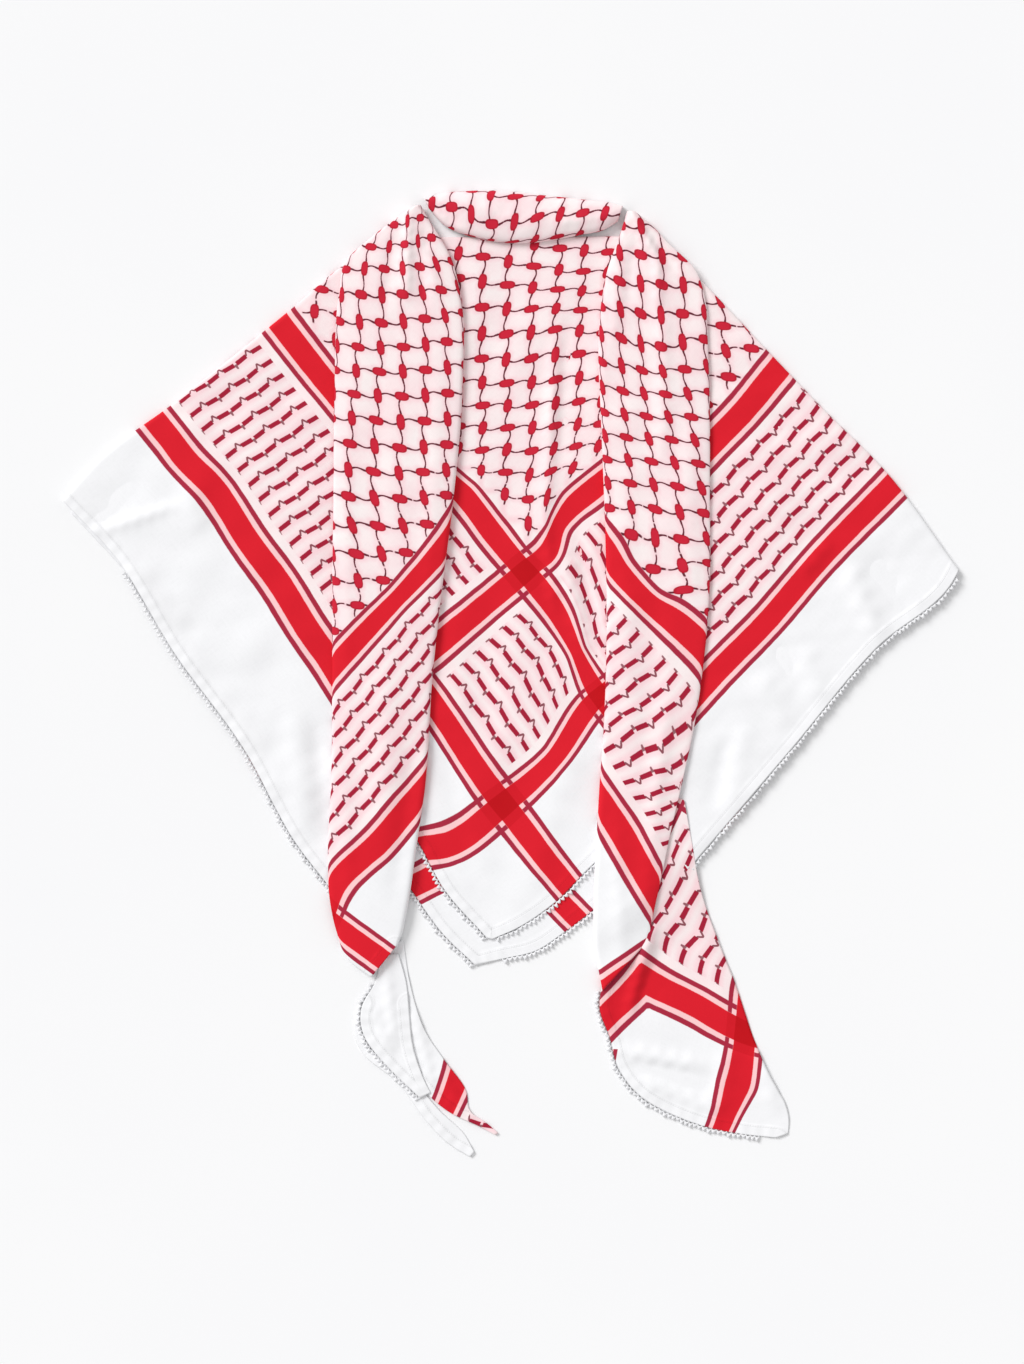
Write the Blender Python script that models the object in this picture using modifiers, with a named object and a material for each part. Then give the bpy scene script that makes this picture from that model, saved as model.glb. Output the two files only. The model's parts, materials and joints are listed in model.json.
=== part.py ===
"""Keffiyeh headscarf: one square cotton cloth, folded corner to corner, its fold
rolled, laid flat with both ends brought forward over the shoulders.

Frame: metres, +Z up, the cloth lies on z = 0, +Y towards the neck, +X to the right.
Every stretch of cloth is a wall of its own, laid a pitch above the one below it.
"""
import bmesh
import bpy
import numpy as np

# ---- driving sizes -------------------------------------------------------------
WALL = 0.0012          # thickness of one layer of cloth
GAP = 0.0003           # clear space between two layers
PITCH = WALL + GAP     # from one layer's underside to the next
ROLL = 0.0035          # radius of a rounded fold
CORE_WALL = 2 * PITCH - GAP   # the turned-in layers inside a roll
EDGING = 0.0045        # reach of the picot edging
COLLAR_RISE = 0.0105   # the neck roll above the panel it lies on
CORE_CLEAR = 0.013     # from a roll's outer edge to the layers turned in
SPREAD_FROM = 0.015    # a layer starts to sink this far outside the hem under it
SPREAD_TO = 0.045      # and is down by here
LOOSE_FROM = -0.215    # below this Y the right roll's inner edge lies over its own end
ARC_STEPS = 3
RIM_FOOT = 0.2         # pitches up at which a fold ends that lies on the surface
FLAP_ROWS = 15
FLAP_COLUMNS = 11
TAIL_ROWS = 25
COLLAR_ROWS = 13
COLLAR_STEPS = 10
COLLAR_CORE_STEPS = 8
COLLAR_CORE_CLEAR = 0.0075    # from the neck roll's edges to the layers inside it
COLLAR_CORE_EDGE = 0.0015     # thickness of those layers at their own edges
COLLAR_FALL = 0.35            # share of its height that the neck roll loses at its ends
COLLAR_ROUNDNESS = 0.6        # power of the sine that shapes the neck roll
PANEL_FOLDS = (0.003, 0.067)  # the part of the middle panel, along X, that its folds cross

# Layers, counted from the surface: the underside of each is its number of pitches up.
UNDER, TOP, INNER, WING, CORE, TAIL = 0, 1, 2, 3, 4, 6

CLOTH_RED = (0.78, 0.30, 0.33, 1.0)
CLOTH_PALE = (0.95, 0.84, 0.85, 1.0)
CLOTH_WHITE = (0.94, 0.94, 0.95, 1.0)

# ---- rails: (x, y) of the edges, from the neck outwards ---------------------------
LEFT_SHOULDER = [(-0.100, 0.393), (-0.122, 0.384), (-0.147, 0.370), (-0.199, 0.327),
                 (-0.308, 0.240), (-0.366, 0.197), (-0.403, 0.157)]
RIGHT_SHOULDER = [(0.122, 0.393), (0.146, 0.377), (0.170, 0.355), (0.234, 0.288),
                  (0.282, 0.238), (0.337, 0.183), (0.403, 0.094)]
# the hem end of each flap, from the shoulder to where it runs in under the roll
LEFT_FLAP_HEM = [(-0.403, 0.157), (-0.353, 0.103), (-0.303, 0.021), (-0.240, -0.066),
                 (-0.192, -0.153), (-0.163, -0.191), (-0.135, -0.232)]
RIGHT_FLAP_HEM = [(0.403, 0.094), (0.397, 0.083), (0.330, 0.025), (0.254, -0.065),
                  (0.171, -0.162), (0.128, -0.212)]
# the middle panel: shoulder corner, then its hem down to the corner of the square
TOP_HEM_LEFT = [(-0.396, 0.153), (-0.232, 0.000), (-0.080, -0.156), (-0.061, -0.191),
                (-0.021, -0.237)]
TOP_HEM_RIGHT = [(0.394, 0.090), (0.234, -0.042), (0.070, -0.175), (0.040, -0.205),
                 (0.008, -0.227), (-0.017, -0.238)]
UNDER_HEM_LEFT = [(-0.396, 0.146), (-0.234, -0.028), (-0.090, -0.193), (-0.061, -0.233),
                  (-0.031, -0.262)]
UNDER_HEM_RIGHT = [(0.394, 0.084), (0.234, -0.062), (0.072, -0.214), (0.047, -0.233),
                   (0.024, -0.248), (-0.009, -0.256)]
NECK_LEFT = (-0.091, 0.396)
NECK_RIGHT = (0.112, 0.397)

# ---- rolls: a row for each cross-section ------------------------------------------
# outer x, outer y, inner x, inner y, rim: how many pitches up the outer edge ends
LEFT_TAIL = [
    (-0.088, 0.4195, -0.0805, 0.4215, 0.2), (-0.105, 0.408, -0.074, 0.410, 0.2),
    (-0.130, 0.388, -0.061, 0.389, 4.3), (-0.148, 0.371, -0.052, 0.371, 4.3),
    (-0.1535, 0.345, -0.045, 0.342, 4.3), (-0.158, 0.256, -0.043, 0.256, 4.3),
    (-0.159, 0.158, -0.051, 0.158, 4.3), (-0.160, 0.079, -0.061, 0.079, 4.3),
    (-0.160, -0.004, -0.070, -0.004, 4.3), (-0.161, -0.096, -0.076, -0.096, 4.3),
    (-0.164, -0.170, -0.085, -0.160, 4.5), (-0.162, -0.205, -0.090, -0.196, 4.5),
    (-0.156, -0.232, -0.094, -0.218, 4.5), (-0.147, -0.255, -0.097, -0.232, 4.5),
    (-0.125, -0.272, -0.101, -0.242, 4.5)]
RIGHT_TAIL = [
    (0.1125, 0.4155, 0.1045, 0.4155, 0.2), (0.126, 0.404, 0.101, 0.404, 0.2),
    (0.144, 0.385, 0.0945, 0.385, 4.3), (0.166, 0.363, 0.087, 0.363, 4.3),
    (0.1745, 0.338, 0.082, 0.338, 4.3), (0.177, 0.302, 0.079, 0.302, 4.3),
    (0.179, 0.234, 0.081, 0.234, 4.3), (0.179, 0.158, 0.084, 0.158, 4.3),
    (0.179, 0.080, 0.086, 0.080, 4.3), (0.175, 0.025, 0.086, 0.025, 4.3),
    (0.166, -0.041, 0.084, -0.041, 4.3), (0.154, -0.098, 0.080, -0.098, 5.6),
    (0.144, -0.141, 0.077, -0.150, 5.6), (0.136, -0.180, 0.0745, -0.200, 5.6),
    (0.129, -0.212, 0.0750, -0.240, 5.6), (0.124, -0.239, 0.0825, -0.284, 5.6)]
# the neck roll: top x, top y, lower x, lower y
COLLAR = [
    (-0.077, 0.4275, -0.0735, 0.419), (-0.066, 0.4315, -0.061, 0.405),
    (-0.040, 0.4345, -0.029, 0.392), (-0.010, 0.435, 0.001, 0.3875),
    (0.028, 0.431, 0.030, 0.389), (0.064, 0.427, 0.063, 0.395),
    (0.090, 0.424, 0.085, 0.400), (0.101, 0.421, 0.0965, 0.407)]

# ---- loose ends: left x, left y, right x, right y ----------------------------------
RIGHT_TAIL_END = [
    (0.148, -0.110, 0.156, -0.113), (0.137, -0.141, 0.162, -0.146),
    (0.122, -0.190, 0.172, -0.197), (0.102, -0.225, 0.186, -0.237),
    (0.0825, -0.278, 0.203, -0.280), (0.0805, -0.302, 0.211, -0.304),
    (0.0885, -0.3245, 0.218, -0.325),
    (0.099, -0.358, 0.231, -0.356), (0.119, -0.381, 0.241, -0.374),
    (0.168, -0.4045, 0.248, -0.388), (0.210, -0.4135, 0.2505, -0.402),
    (0.240, -0.4165, 0.2495, -0.413)]
LEFT_TAIL_END = [
    (-0.116, -0.252, -0.101, -0.251), (-0.121, -0.275, -0.094, -0.276),
    (-0.134, -0.300, -0.091, -0.302), (-0.132, -0.324, -0.088, -0.332),
    (-0.110, -0.353, -0.079, -0.361), (-0.081, -0.381, -0.072, -0.376)]
LEFT_TAIL_TIP = [
    (-0.112, -0.247, -0.0965, -0.238), (-0.104, -0.275, -0.091, -0.275),
    (-0.100, -0.310, -0.078, -0.318), (-0.094, -0.345, -0.060, -0.346),
    (-0.078, -0.374, -0.040, -0.374), (-0.056, -0.393, -0.0365, -0.392),
    (-0.028, -0.4065, -0.021, -0.404), (-0.013, -0.4145, -0.011, -0.4125)]
LEFT_TAIL_TIP_UNDER = [
    (-0.136, -0.296, -0.126, -0.300), (-0.141, -0.318, -0.119, -0.322),
    (-0.133, -0.341, -0.104, -0.345), (-0.104, -0.365, -0.090, -0.361),
    (-0.074, -0.404, -0.062, -0.394), (-0.054, -0.4235, -0.0415, -0.4135),
    (-0.036, -0.434, -0.0325, -0.430)]

# ---- large folds of the cloth: from, to, half width, height ------------------------
LARGE_FOLDS = [
    (-0.352, 0.112, -0.312, 0.148, 0.010, 0.0022),
    (0.302, 0.090, 0.330, 0.034, 0.012, 0.0024),
    (0.222, -0.010, 0.246, -0.042, 0.012, 0.0016),
    (0.041, 0.283, 0.031, 0.103, 0.014, 0.0022),
    (0.045, 0.095, 0.058, 0.020, 0.012, 0.0018)]

# ---- hem lines, left and right, past which the layers above sink -------------------
BACK_HEM_LINES = ((-0.403, 0.150), (-0.090, -0.193)), ((0.403, 0.086), (0.072, -0.214))
FLAP_HEM_LINES = ((-0.163, -0.191), (-0.120, -0.254)), ((0.171, -0.162), (0.117, -0.225))


def smooth_step(t):
    """0 below 0, 1 above 1, and a soft S between."""
    t = np.clip(t, 0.0, 1.0)
    return t * t * (3.0 - 2.0 * t)


def resample(table, count):
    """Read rows evenly along a table with a Catmull-Rom curve through its rows."""
    rows = np.asarray(table, dtype=float)
    reach = np.linalg.norm(np.diff(rows[:, :2], axis=0), axis=1)
    if rows.shape[1] >= 4:
        reach = reach + np.linalg.norm(np.diff(rows[:, 2:4], axis=0), axis=1)
    knots = np.concatenate([[0.0], np.cumsum(reach)])
    slopes = np.gradient(rows, knots, axis=0)
    at = np.linspace(0.0, knots[-1], count)
    i = np.clip(np.searchsorted(knots, at, side="right") - 1, 0, len(rows) - 2)
    span = (knots[i + 1] - knots[i])[:, None]
    t = (at - knots[i])[:, None] / span
    return ((2 * t**3 - 3 * t**2 + 1) * rows[i] + (t**3 - 2 * t**2 + t) * span * slopes[i]
            + (3 * t**2 - 2 * t**3) * rows[i + 1] + (t**3 - t**2) * span * slopes[i + 1])


def outside(line, x, y, side):
    """How far a point lies outside a hem line; side is -1 on the left, 1 on the right."""
    (x0, y0), (x1, y1) = line
    along = np.array([x1 - x0, y1 - y0])
    along = along / np.linalg.norm(along)
    across = np.array([-along[1], along[0]]) * side
    return (x - x0) * across[0] + (y - y0) * across[1]


def held_up(lines, x, y, start, end):
    """1 where the layers inside both hem lines lie underneath, 0 well outside them."""
    past = np.maximum(outside(lines[0], x, y, -1.0), outside(lines[1], x, y, 1.0))
    return 1.0 - smooth_step((past - start) / (end - start))


def layer_height(number, x, y):
    """Underside of a layer, sunk where the layers that it lies on have ended."""
    back = held_up(BACK_HEM_LINES, x, y, SPREAD_FROM, SPREAD_TO)
    height = number - 2.0 * (1.0 - back)
    if number > WING:
        flap = held_up(FLAP_HEM_LINES, x, y, SPREAD_FROM / 2, SPREAD_TO)
        height = height - 2.0 * (1.0 - flap)
    return height * PITCH


def fold_height(x, y):
    """Height that the large folds add: each a bell across a line, faded at its ends."""
    total = np.zeros_like(np.asarray(x, dtype=float))
    for x0, y0, x1, y1, width, height in LARGE_FOLDS:
        dx, dy = x1 - x0, y1 - y0
        length = np.hypot(dx, dy)
        along = ((x - x0) * dx + (y - y0) * dy) / length
        across = ((x - x0) * dy - (y - y0) * dx) / length
        beyond = np.maximum(np.maximum(-along, along - length), 0.0)
        total = total + height * np.exp(-(across / width) ** 2 - (beyond / (2 * width)) ** 2)
    return total


def add_grid(name, points, colour, wall=WALL):
    """Make a named cloth wall from a grid of points, its thickness below the grid."""
    rows, cols = points.shape[:2]
    index = np.arange(rows * cols).reshape(rows, cols)
    a, b = index[:-1, :-1].ravel(), index[:-1, 1:].ravel()
    c, d = index[1:, 1:].ravel(), index[1:, :-1].ravel()
    faces = np.concatenate([np.stack([a, b, c], 1), np.stack([a, c, d], 1)])
    flat = points.reshape(-1, 3)
    corner = flat[faces]
    normal_z = np.cross(corner[:, 1] - corner[:, 0], corner[:, 2] - corner[:, 0])[:, 2]
    if normal_z.sum() < 0.0:
        faces = faces[:, ::-1]
    mesh = bpy.data.meshes.new(name)
    mesh.from_pydata(flat.tolist(), [], faces.tolist())
    mesh.validate()
    mesh.shade_smooth()
    piece = bpy.data.objects.new(name, mesh)
    scarf.objects.link(piece)
    solid = piece.modifiers.new("cloth wall", "SOLIDIFY")
    solid.thickness = wall
    solid.offset = -1.0
    solid.use_even_offset = False
    paint(piece, colour)
    return piece


def paint(piece, colour):
    """Give a piece its own cotton material."""
    material = bpy.data.materials.new(piece.name + "_cotton")
    material.use_nodes = True
    shader = material.node_tree.nodes["Principled BSDF"]
    shader.inputs["Base Color"].default_value = colour
    shader.inputs["Roughness"].default_value = 0.85
    shader.inputs["Metallic"].default_value = 0.0
    piece.data.materials.append(material)


def across_section(width, cols, roll_start, roll_end):
    """Places across a section, and how far up its rounded edges each one is (0 to 1)."""
    radius = np.minimum(ROLL, 0.4 * width)
    turn = np.linspace(0.0, np.pi / 2, ARC_STEPS + 1)[:-1]
    place = np.linspace(0.0, 1.0, cols) if isinstance(cols, int) else np.asarray(cols)
    cols = len(place)
    inner_from = radius if roll_start else 0.0
    inner_to = width - radius if roll_end else width
    at = inner_from + (inner_to - inner_from) * place
    up_start, up_end = np.ones(cols), np.ones(cols)
    if roll_start:
        at = np.concatenate([radius * (1.0 - np.cos(turn)), at])
        up_start = np.concatenate([np.sin(turn), up_start])
        up_end = np.concatenate([np.ones(ARC_STEPS), up_end])
    if roll_end:
        at = np.concatenate([at, (width - radius * (1.0 - np.cos(turn)))[::-1]])
        up_start = np.concatenate([up_start, np.ones(ARC_STEPS)])
        up_end = np.concatenate([up_end, np.sin(turn)[::-1]])
    return at, up_start, up_end


def strip(name, start, end, cols, top, colour, rim_start=None, rim_end=None):
    """A wall between two rails of equal length, its rims rounded down where asked.

    start and end are arrays of (x, y); top(x, y) is the height of the upper face;
    rim_start and rim_end are the heights at which a rounded edge ends, one a row.
    """
    rows = []
    for i in range(len(start)):
        run = end[i] - start[i]
        width = np.linalg.norm(run)
        at, up_start, up_end = across_section(
            width, cols, rim_start is not None, rim_end is not None)
        xy = start[i] + np.outer(at / width, run)
        z = top(xy[:, 0], xy[:, 1])
        if rim_start is not None:
            z = rim_start[i] + (z - rim_start[i]) * up_start
        if rim_end is not None:
            z = np.where(up_end < 1.0, rim_end[i] + (z - rim_end[i]) * up_end, z)
        rows.append(np.column_stack([xy, z]))
    return add_grid(name, np.array(rows), colour)


def inset(rail, distance, side):
    """Move a rail to its side by a distance; side 1 is to the left of its run."""
    run = np.gradient(rail, axis=0)
    run = run / np.linalg.norm(run, axis=1)[:, None]
    return rail + distance * side * np.column_stack([-run[:, 1], run[:, 0]])


def between(first, last, count):
    """Points evenly along a straight line."""
    return first + np.outer(np.linspace(0.0, 1.0, count), np.asarray(last) - first)


# places of the middle panel's columns across it, closer together where it shows
PANEL_PLACES = (0.0, 0.2, 0.38, 0.44, 0.465, 0.49, 0.515, 0.54, 0.565, 0.59, 0.65, 0.8, 1.0)


def back_panel(name, number, hem_left, hem_right, colour):
    """A layer of the middle panel: from the neck to the shoulders, then to its corner."""
    rise_rows, hem_rows = 8, 14
    left = np.vstack([
        inset(resample([NECK_LEFT] + LEFT_SHOULDER[1:], rise_rows), ROLL + GAP, 1)[:-1],
        resample(hem_left, hem_rows)])
    right = np.vstack([
        inset(resample([NECK_RIGHT] + RIGHT_SHOULDER[1:], rise_rows), ROLL + GAP, -1)[:-1],
        resample(hem_right, hem_rows)])
    shows = number == TOP

    def top(x, y):
        flat = np.full_like(x, number * PITCH + WALL)
        folded = (x > PANEL_FOLDS[0]) & (x < PANEL_FOLDS[1])
        return flat + fold_height(x, y) * folded if shows else flat

    strip(name, left, right, PANEL_PLACES if shows else 5, top, colour)
    return left[-hem_rows:], right[-hem_rows:]


def hem_bend(hem, at):
    """Offset of a hem from its own straight line, at places from 0 to 1 along it."""
    line = np.asarray(hem)
    steps = np.concatenate([[0.0], np.cumsum(np.linalg.norm(np.diff(line, axis=0), axis=1))])
    steps = steps / steps[-1]
    off = line - line[0] - np.outer(steps, line[-1] - line[0])
    return np.column_stack([np.interp(at, steps, off[:, 0]), np.interp(at, steps, off[:, 1])])


def roll_side_rail(side, apex, last, roll):
    """The flap's edge under the roll: clear of the fold that the roll makes at its inner edge."""
    rail = between(apex, last, FLAP_ROWS)
    roll_edge = resample(roll, 40)[:, 2:4]
    reach = np.interp(-rail[:, 1], -roll_edge[:, 1], roll_edge[:, 0])
    rail[:, 0] = reach + side * (ROLL + WALL + GAP)
    rail[-1] = last
    rail[0] = apex
    return rail


def flap(side, shoulder, hem, roll, colour):
    """A front flap: its hidden layer, and the layer that shows with its shoulder fold."""
    name = "left" if side < 0 else "right"
    outer = resample(shoulder, FLAP_ROWS)
    apex = outer[0] + np.array([-side * 0.012, -0.004])
    inner_rail = roll_side_rail(side, apex, np.asarray(hem[-1]), roll)
    for piece, number, pull in ((name + "_inner", INNER, ROLL + GAP), (name + "_wing", WING, 0.0)):
        start = inset(outer, pull, -side)
        rows = []
        for i in range(FLAP_ROWS):
            run = inner_rail[i] - start[i]
            width = np.linalg.norm(run)
            at, up, _ = across_section(width, FLAP_COLUMNS, number == WING, False)
            # the rows bow with the hem, the more the nearer they are to it
            bend = hem_bend(hem, at / width) * (i / (FLAP_ROWS - 1)) ** 3
            xy = start[i] + np.outer(at / width, run) + bend
            z = layer_height(number, xy[:, 0], xy[:, 1]) + WALL
            if number == WING:
                foot = RIM_FOOT * PITCH
                z = foot + (z + fold_height(xy[:, 0], xy[:, 1]) - foot) * up
            rows.append(np.column_stack([xy, z]))
        if number == INNER:
            rows = rows[1:]
        add_grid(piece, np.array(rows), colour)
    return rows[-1][ARC_STEPS:-1, :2]


def tail(name, table, colour):
    """A roll: the face that shows, with rounded edges, over the layers turned in."""
    rows = resample(table, TAIL_ROWS)
    outer, inner, rim = rows[:, 0:2], rows[:, 2:4], rows[:, 4] * PITCH
    # the rims sink with the layers below them
    low = layer_height(CORE, outer[:, 0], outer[:, 1]) - CORE * PITCH
    lowest = np.where(rows[:, 4] > CORE - 0.1, PITCH, RIM_FOOT * PITCH)
    rim_outer = np.maximum(rim + low, lowest)
    rim_inner = np.maximum(layer_height(INNER, inner[:, 0], inner[:, 1]) + GAP, PITCH)
    # past the flap the roll lies on its own end, so its inner edge stays as high as the outer
    over_end = (rows[:, 4] > CORE + 1.0) & (inner[:, 1] < LOOSE_FROM)
    rim_inner = np.where(over_end, layer_height(CORE, inner[:, 0], inner[:, 1]) + PITCH, rim_inner)

    def top(x, y):
        return layer_height(TAIL, x, y) + WALL

    strip(name, outer, inner, 6, top, colour, rim_outer, rim_inner)

    keep = rows[2:-6]
    start, end = keep[:, 0:2].copy(), keep[:, 2:4].copy()
    run = (end - start) / np.linalg.norm(end - start, axis=1)[:, None]
    start += run * CORE_CLEAR
    end -= run * (ROLL + WALL)
    sections = []
    for i in range(len(start)):
        xy = between(start[i], end[i], 5)
        height = layer_height(CORE, xy[:, 0], xy[:, 1]) + CORE_WALL
        sections.append(np.column_stack([xy, height]))
    add_grid(name + "_core", np.array(sections), colour, CORE_WALL)


def collar(colour):
    """The neck roll, rounded over its top and lower edges, and the layers inside it."""
    rows = resample(COLLAR, COLLAR_ROWS)
    upper, lower = rows[:, 0:2], rows[:, 2:4]
    rise = COLLAR_RISE * (1.0 - COLLAR_FALL * np.linspace(-1.0, 1.0, COLLAR_ROWS) ** 4)
    base = INNER * PITCH
    turn = np.linspace(0.0, np.pi, COLLAR_STEPS + 1)
    sections = []
    for i in range(COLLAR_ROWS):
        run = lower[i] - upper[i]
        foot = np.where(turn < np.pi / 2, RIM_FOOT * PITCH, base + GAP)
        z = foot + (base + rise[i] - foot) * np.sin(turn) ** COLLAR_ROUNDNESS
        sections.append(np.column_stack([upper[i] + np.outer((1.0 - np.cos(turn)) / 2, run), z]))
    add_grid("collar", np.array(sections), colour)

    turn = np.linspace(0.0, np.pi, COLLAR_CORE_STEPS + 1)
    sections = []
    for i in range(2, COLLAR_ROWS - 2):
        width = np.linalg.norm(lower[i] - upper[i])
        run = (lower[i] - upper[i]) / width
        at = COLLAR_CORE_CLEAR + (width - 2 * COLLAR_CORE_CLEAR) * (1.0 - np.cos(turn)) / 2
        inner_rise = rise[i] - COLLAR_CORE_EDGE - WALL - 4 * GAP
        top = base + COLLAR_CORE_EDGE + inner_rise * np.sin(turn)
        xy = upper[i] + np.outer(at, run)
        over, under = np.column_stack([xy, top]), np.column_stack([xy, np.full(len(at), base)])
        sections.append(np.vstack([over, under[::-1]]))
    add_ring_body("collar_core", np.array(sections), colour)


def add_ring_body(name, rings, colour):
    """A closed body through rings of points, with flat ends."""
    count, around = rings.shape[:2]
    index = np.arange(count * around).reshape(count, around)
    after = np.roll(index, -1, axis=1)
    a, b = index[:-1].ravel(), after[:-1].ravel()
    c, d = after[1:].ravel(), index[1:].ravel()
    faces = [list(f) for f in np.stack([a, d, c, b], 1)]
    faces += [index[0].tolist(), index[-1][::-1].tolist()]
    mesh = bpy.data.meshes.new(name)
    mesh.from_pydata(rings.reshape(-1, 3).tolist(), [], faces)
    piece = bpy.data.objects.new(name, mesh)
    scarf.objects.link(piece)
    paint(piece, colour)
    outward(mesh)
    return piece


def outward(mesh):
    """Turn the faces of a closed mesh outwards."""
    work = bmesh.new()
    work.from_mesh(mesh)
    bmesh.ops.recalc_face_normals(work, faces=work.faces)
    bmesh.ops.triangulate(work, faces=work.faces)
    work.to_mesh(mesh)
    work.free()


def loose_end(name, table, number, colour, cols=4, rows=11):
    """An end of the cloth that lies on the surface, or on what is below it."""
    across = resample(table, rows)

    def top(x, y):
        if number == CORE:
            return layer_height(number, x, y) + WALL
        return np.full_like(x, number * PITCH + WALL)

    strip(name, across[:, 0:2], across[:, 2:4], cols, top, colour)
    return across[:, 0:2]


def edging(name, hem, side, number):
    """The picot edging: a narrow wall just outside a hem's own points, at its height."""
    start, end = inset(hem, GAP, side), inset(hem, GAP + EDGING, side)

    def top(x, y):
        height = layer_height(number, x, y) if number >= WING else np.full_like(x, number * PITCH)
        return height + WALL

    return strip(name, start, end, 2, top, CLOTH_WHITE)


def showing(hem, least_x, most_x):
    """The part of a hem that lies clear of the rolls."""
    return hem[(hem[:, 0] > least_x) & (hem[:, 0] < most_x)]


def build():
    """Make every stretch of the cloth, from the surface up."""
    under_left, under_right = back_panel(
        "back_under", UNDER, UNDER_HEM_LEFT, UNDER_HEM_RIGHT, CLOTH_PALE)
    top_left, top_right = back_panel(
        "back_top", TOP, TOP_HEM_LEFT, TOP_HEM_RIGHT, CLOTH_PALE)
    left_hem = flap(-1, LEFT_SHOULDER, LEFT_FLAP_HEM, LEFT_TAIL, CLOTH_RED)
    right_hem = flap(1, RIGHT_SHOULDER, RIGHT_FLAP_HEM, RIGHT_TAIL, CLOTH_RED)
    tail("left_tail", LEFT_TAIL, CLOTH_PALE)
    tail("right_tail", RIGHT_TAIL, CLOTH_PALE)
    collar(CLOTH_RED)
    right_end = loose_end("right_tail_end", RIGHT_TAIL_END, CORE, CLOTH_RED, cols=6, rows=20)
    left_end = loose_end("left_tail_end", LEFT_TAIL_END, TOP, CLOTH_WHITE)
    loose_end("left_tail_tip", LEFT_TAIL_TIP, UNDER, CLOTH_PALE)
    loose_end("left_tail_tip_under", LEFT_TAIL_TIP_UNDER, UNDER, CLOTH_WHITE)
    edging("back_top_left_edging", showing(top_left, -0.100, -0.020), -1, TOP)
    edging("back_top_right_edging", showing(top_right, -0.010, 0.085), 1, TOP)
    edging("back_under_left_edging", showing(under_left, -0.105, -0.030), -1, UNDER)
    edging("back_under_right_edging", showing(under_right, -0.005, 0.085), 1, UNDER)
    edging("left_wing_edging", showing(left_hem, -0.5, -0.155), -1, WING)
    edging("right_wing_edging", showing(right_hem, 0.160, 0.5), 1, WING)
    edging("left_tail_end_edging", left_end[2:], -1, TOP)
    edging("right_tail_end_edging", right_end[9:-1], -1, UNDER)


for old in list(bpy.data.objects):
    bpy.data.objects.remove(old, do_unlink=True)
scarf = bpy.data.collections.new("keffiyeh_headscarf")
bpy.context.scene.collection.children.link(scarf)
build()
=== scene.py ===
"""Keffiyeh headscarf laid flat: thin cotton shells on the CAD forms, with the woven net,
dash rows and border bands drawn on the cloth's own coordinates.

Lengths are metres. Cloth coordinates (a, b) run along two sides of the square cloth from
one corner, so a pattern keeps its place on the cloth through every fold.
"""
from __future__ import annotations

import json
import logging
import math
from dataclasses import dataclass
from enum import Enum
from typing import Callable, Sequence, Union

import bpy
import numpy as np
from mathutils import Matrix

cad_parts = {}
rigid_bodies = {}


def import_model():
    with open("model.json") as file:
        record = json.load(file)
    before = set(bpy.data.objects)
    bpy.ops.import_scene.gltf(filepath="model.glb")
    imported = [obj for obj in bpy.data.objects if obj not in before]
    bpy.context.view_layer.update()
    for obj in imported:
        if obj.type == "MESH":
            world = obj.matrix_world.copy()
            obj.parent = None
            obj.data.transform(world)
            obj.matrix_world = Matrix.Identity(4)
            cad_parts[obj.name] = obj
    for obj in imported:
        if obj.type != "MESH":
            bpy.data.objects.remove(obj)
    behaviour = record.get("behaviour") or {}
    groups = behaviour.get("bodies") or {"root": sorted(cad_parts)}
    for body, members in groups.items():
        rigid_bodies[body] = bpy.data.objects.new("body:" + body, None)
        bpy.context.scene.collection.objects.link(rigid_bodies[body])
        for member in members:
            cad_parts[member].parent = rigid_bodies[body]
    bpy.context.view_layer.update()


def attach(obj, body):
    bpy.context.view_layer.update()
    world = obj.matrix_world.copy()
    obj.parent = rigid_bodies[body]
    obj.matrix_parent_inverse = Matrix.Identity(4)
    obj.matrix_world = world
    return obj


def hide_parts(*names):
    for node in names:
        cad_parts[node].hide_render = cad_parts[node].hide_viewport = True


LOG = logging.getLogger("keffiyeh")

Table = Sequence[Sequence[float]]
HeightField = Callable[[np.ndarray, np.ndarray], np.ndarray]


# ---- sizes ----------------------------------------------------------------------------
@dataclass(frozen=True)
class ClothSizes:
    """Sizes of the cloth and of its stack of layers, in metres."""

    side: float = 1.30
    shell: float = 0.0007
    wall: float = 0.0012
    gap: float = 0.0003
    fold_radius: float = 0.0035
    hem: float = 0.0095
    hem_rise: float = 0.0006
    step: float = 0.0021
    spread_from: float = 0.015
    spread_to: float = 0.045

    @property
    def pitch(self) -> float:
        """From one layer's underside to the next."""
        return self.wall + self.gap


class Layer(Enum):
    """Pitches from the surface up to each layer's underside."""

    UNDER = 0
    TOP = 1
    INNER = 2
    WING = 3
    CORE = 4
    TAIL = 6


class Slot(Enum):
    """Material slots of the record."""

    PATTERNED = "patterned_cotton"
    INNER = "inner_layers"
    EDGING = "edging"


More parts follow.
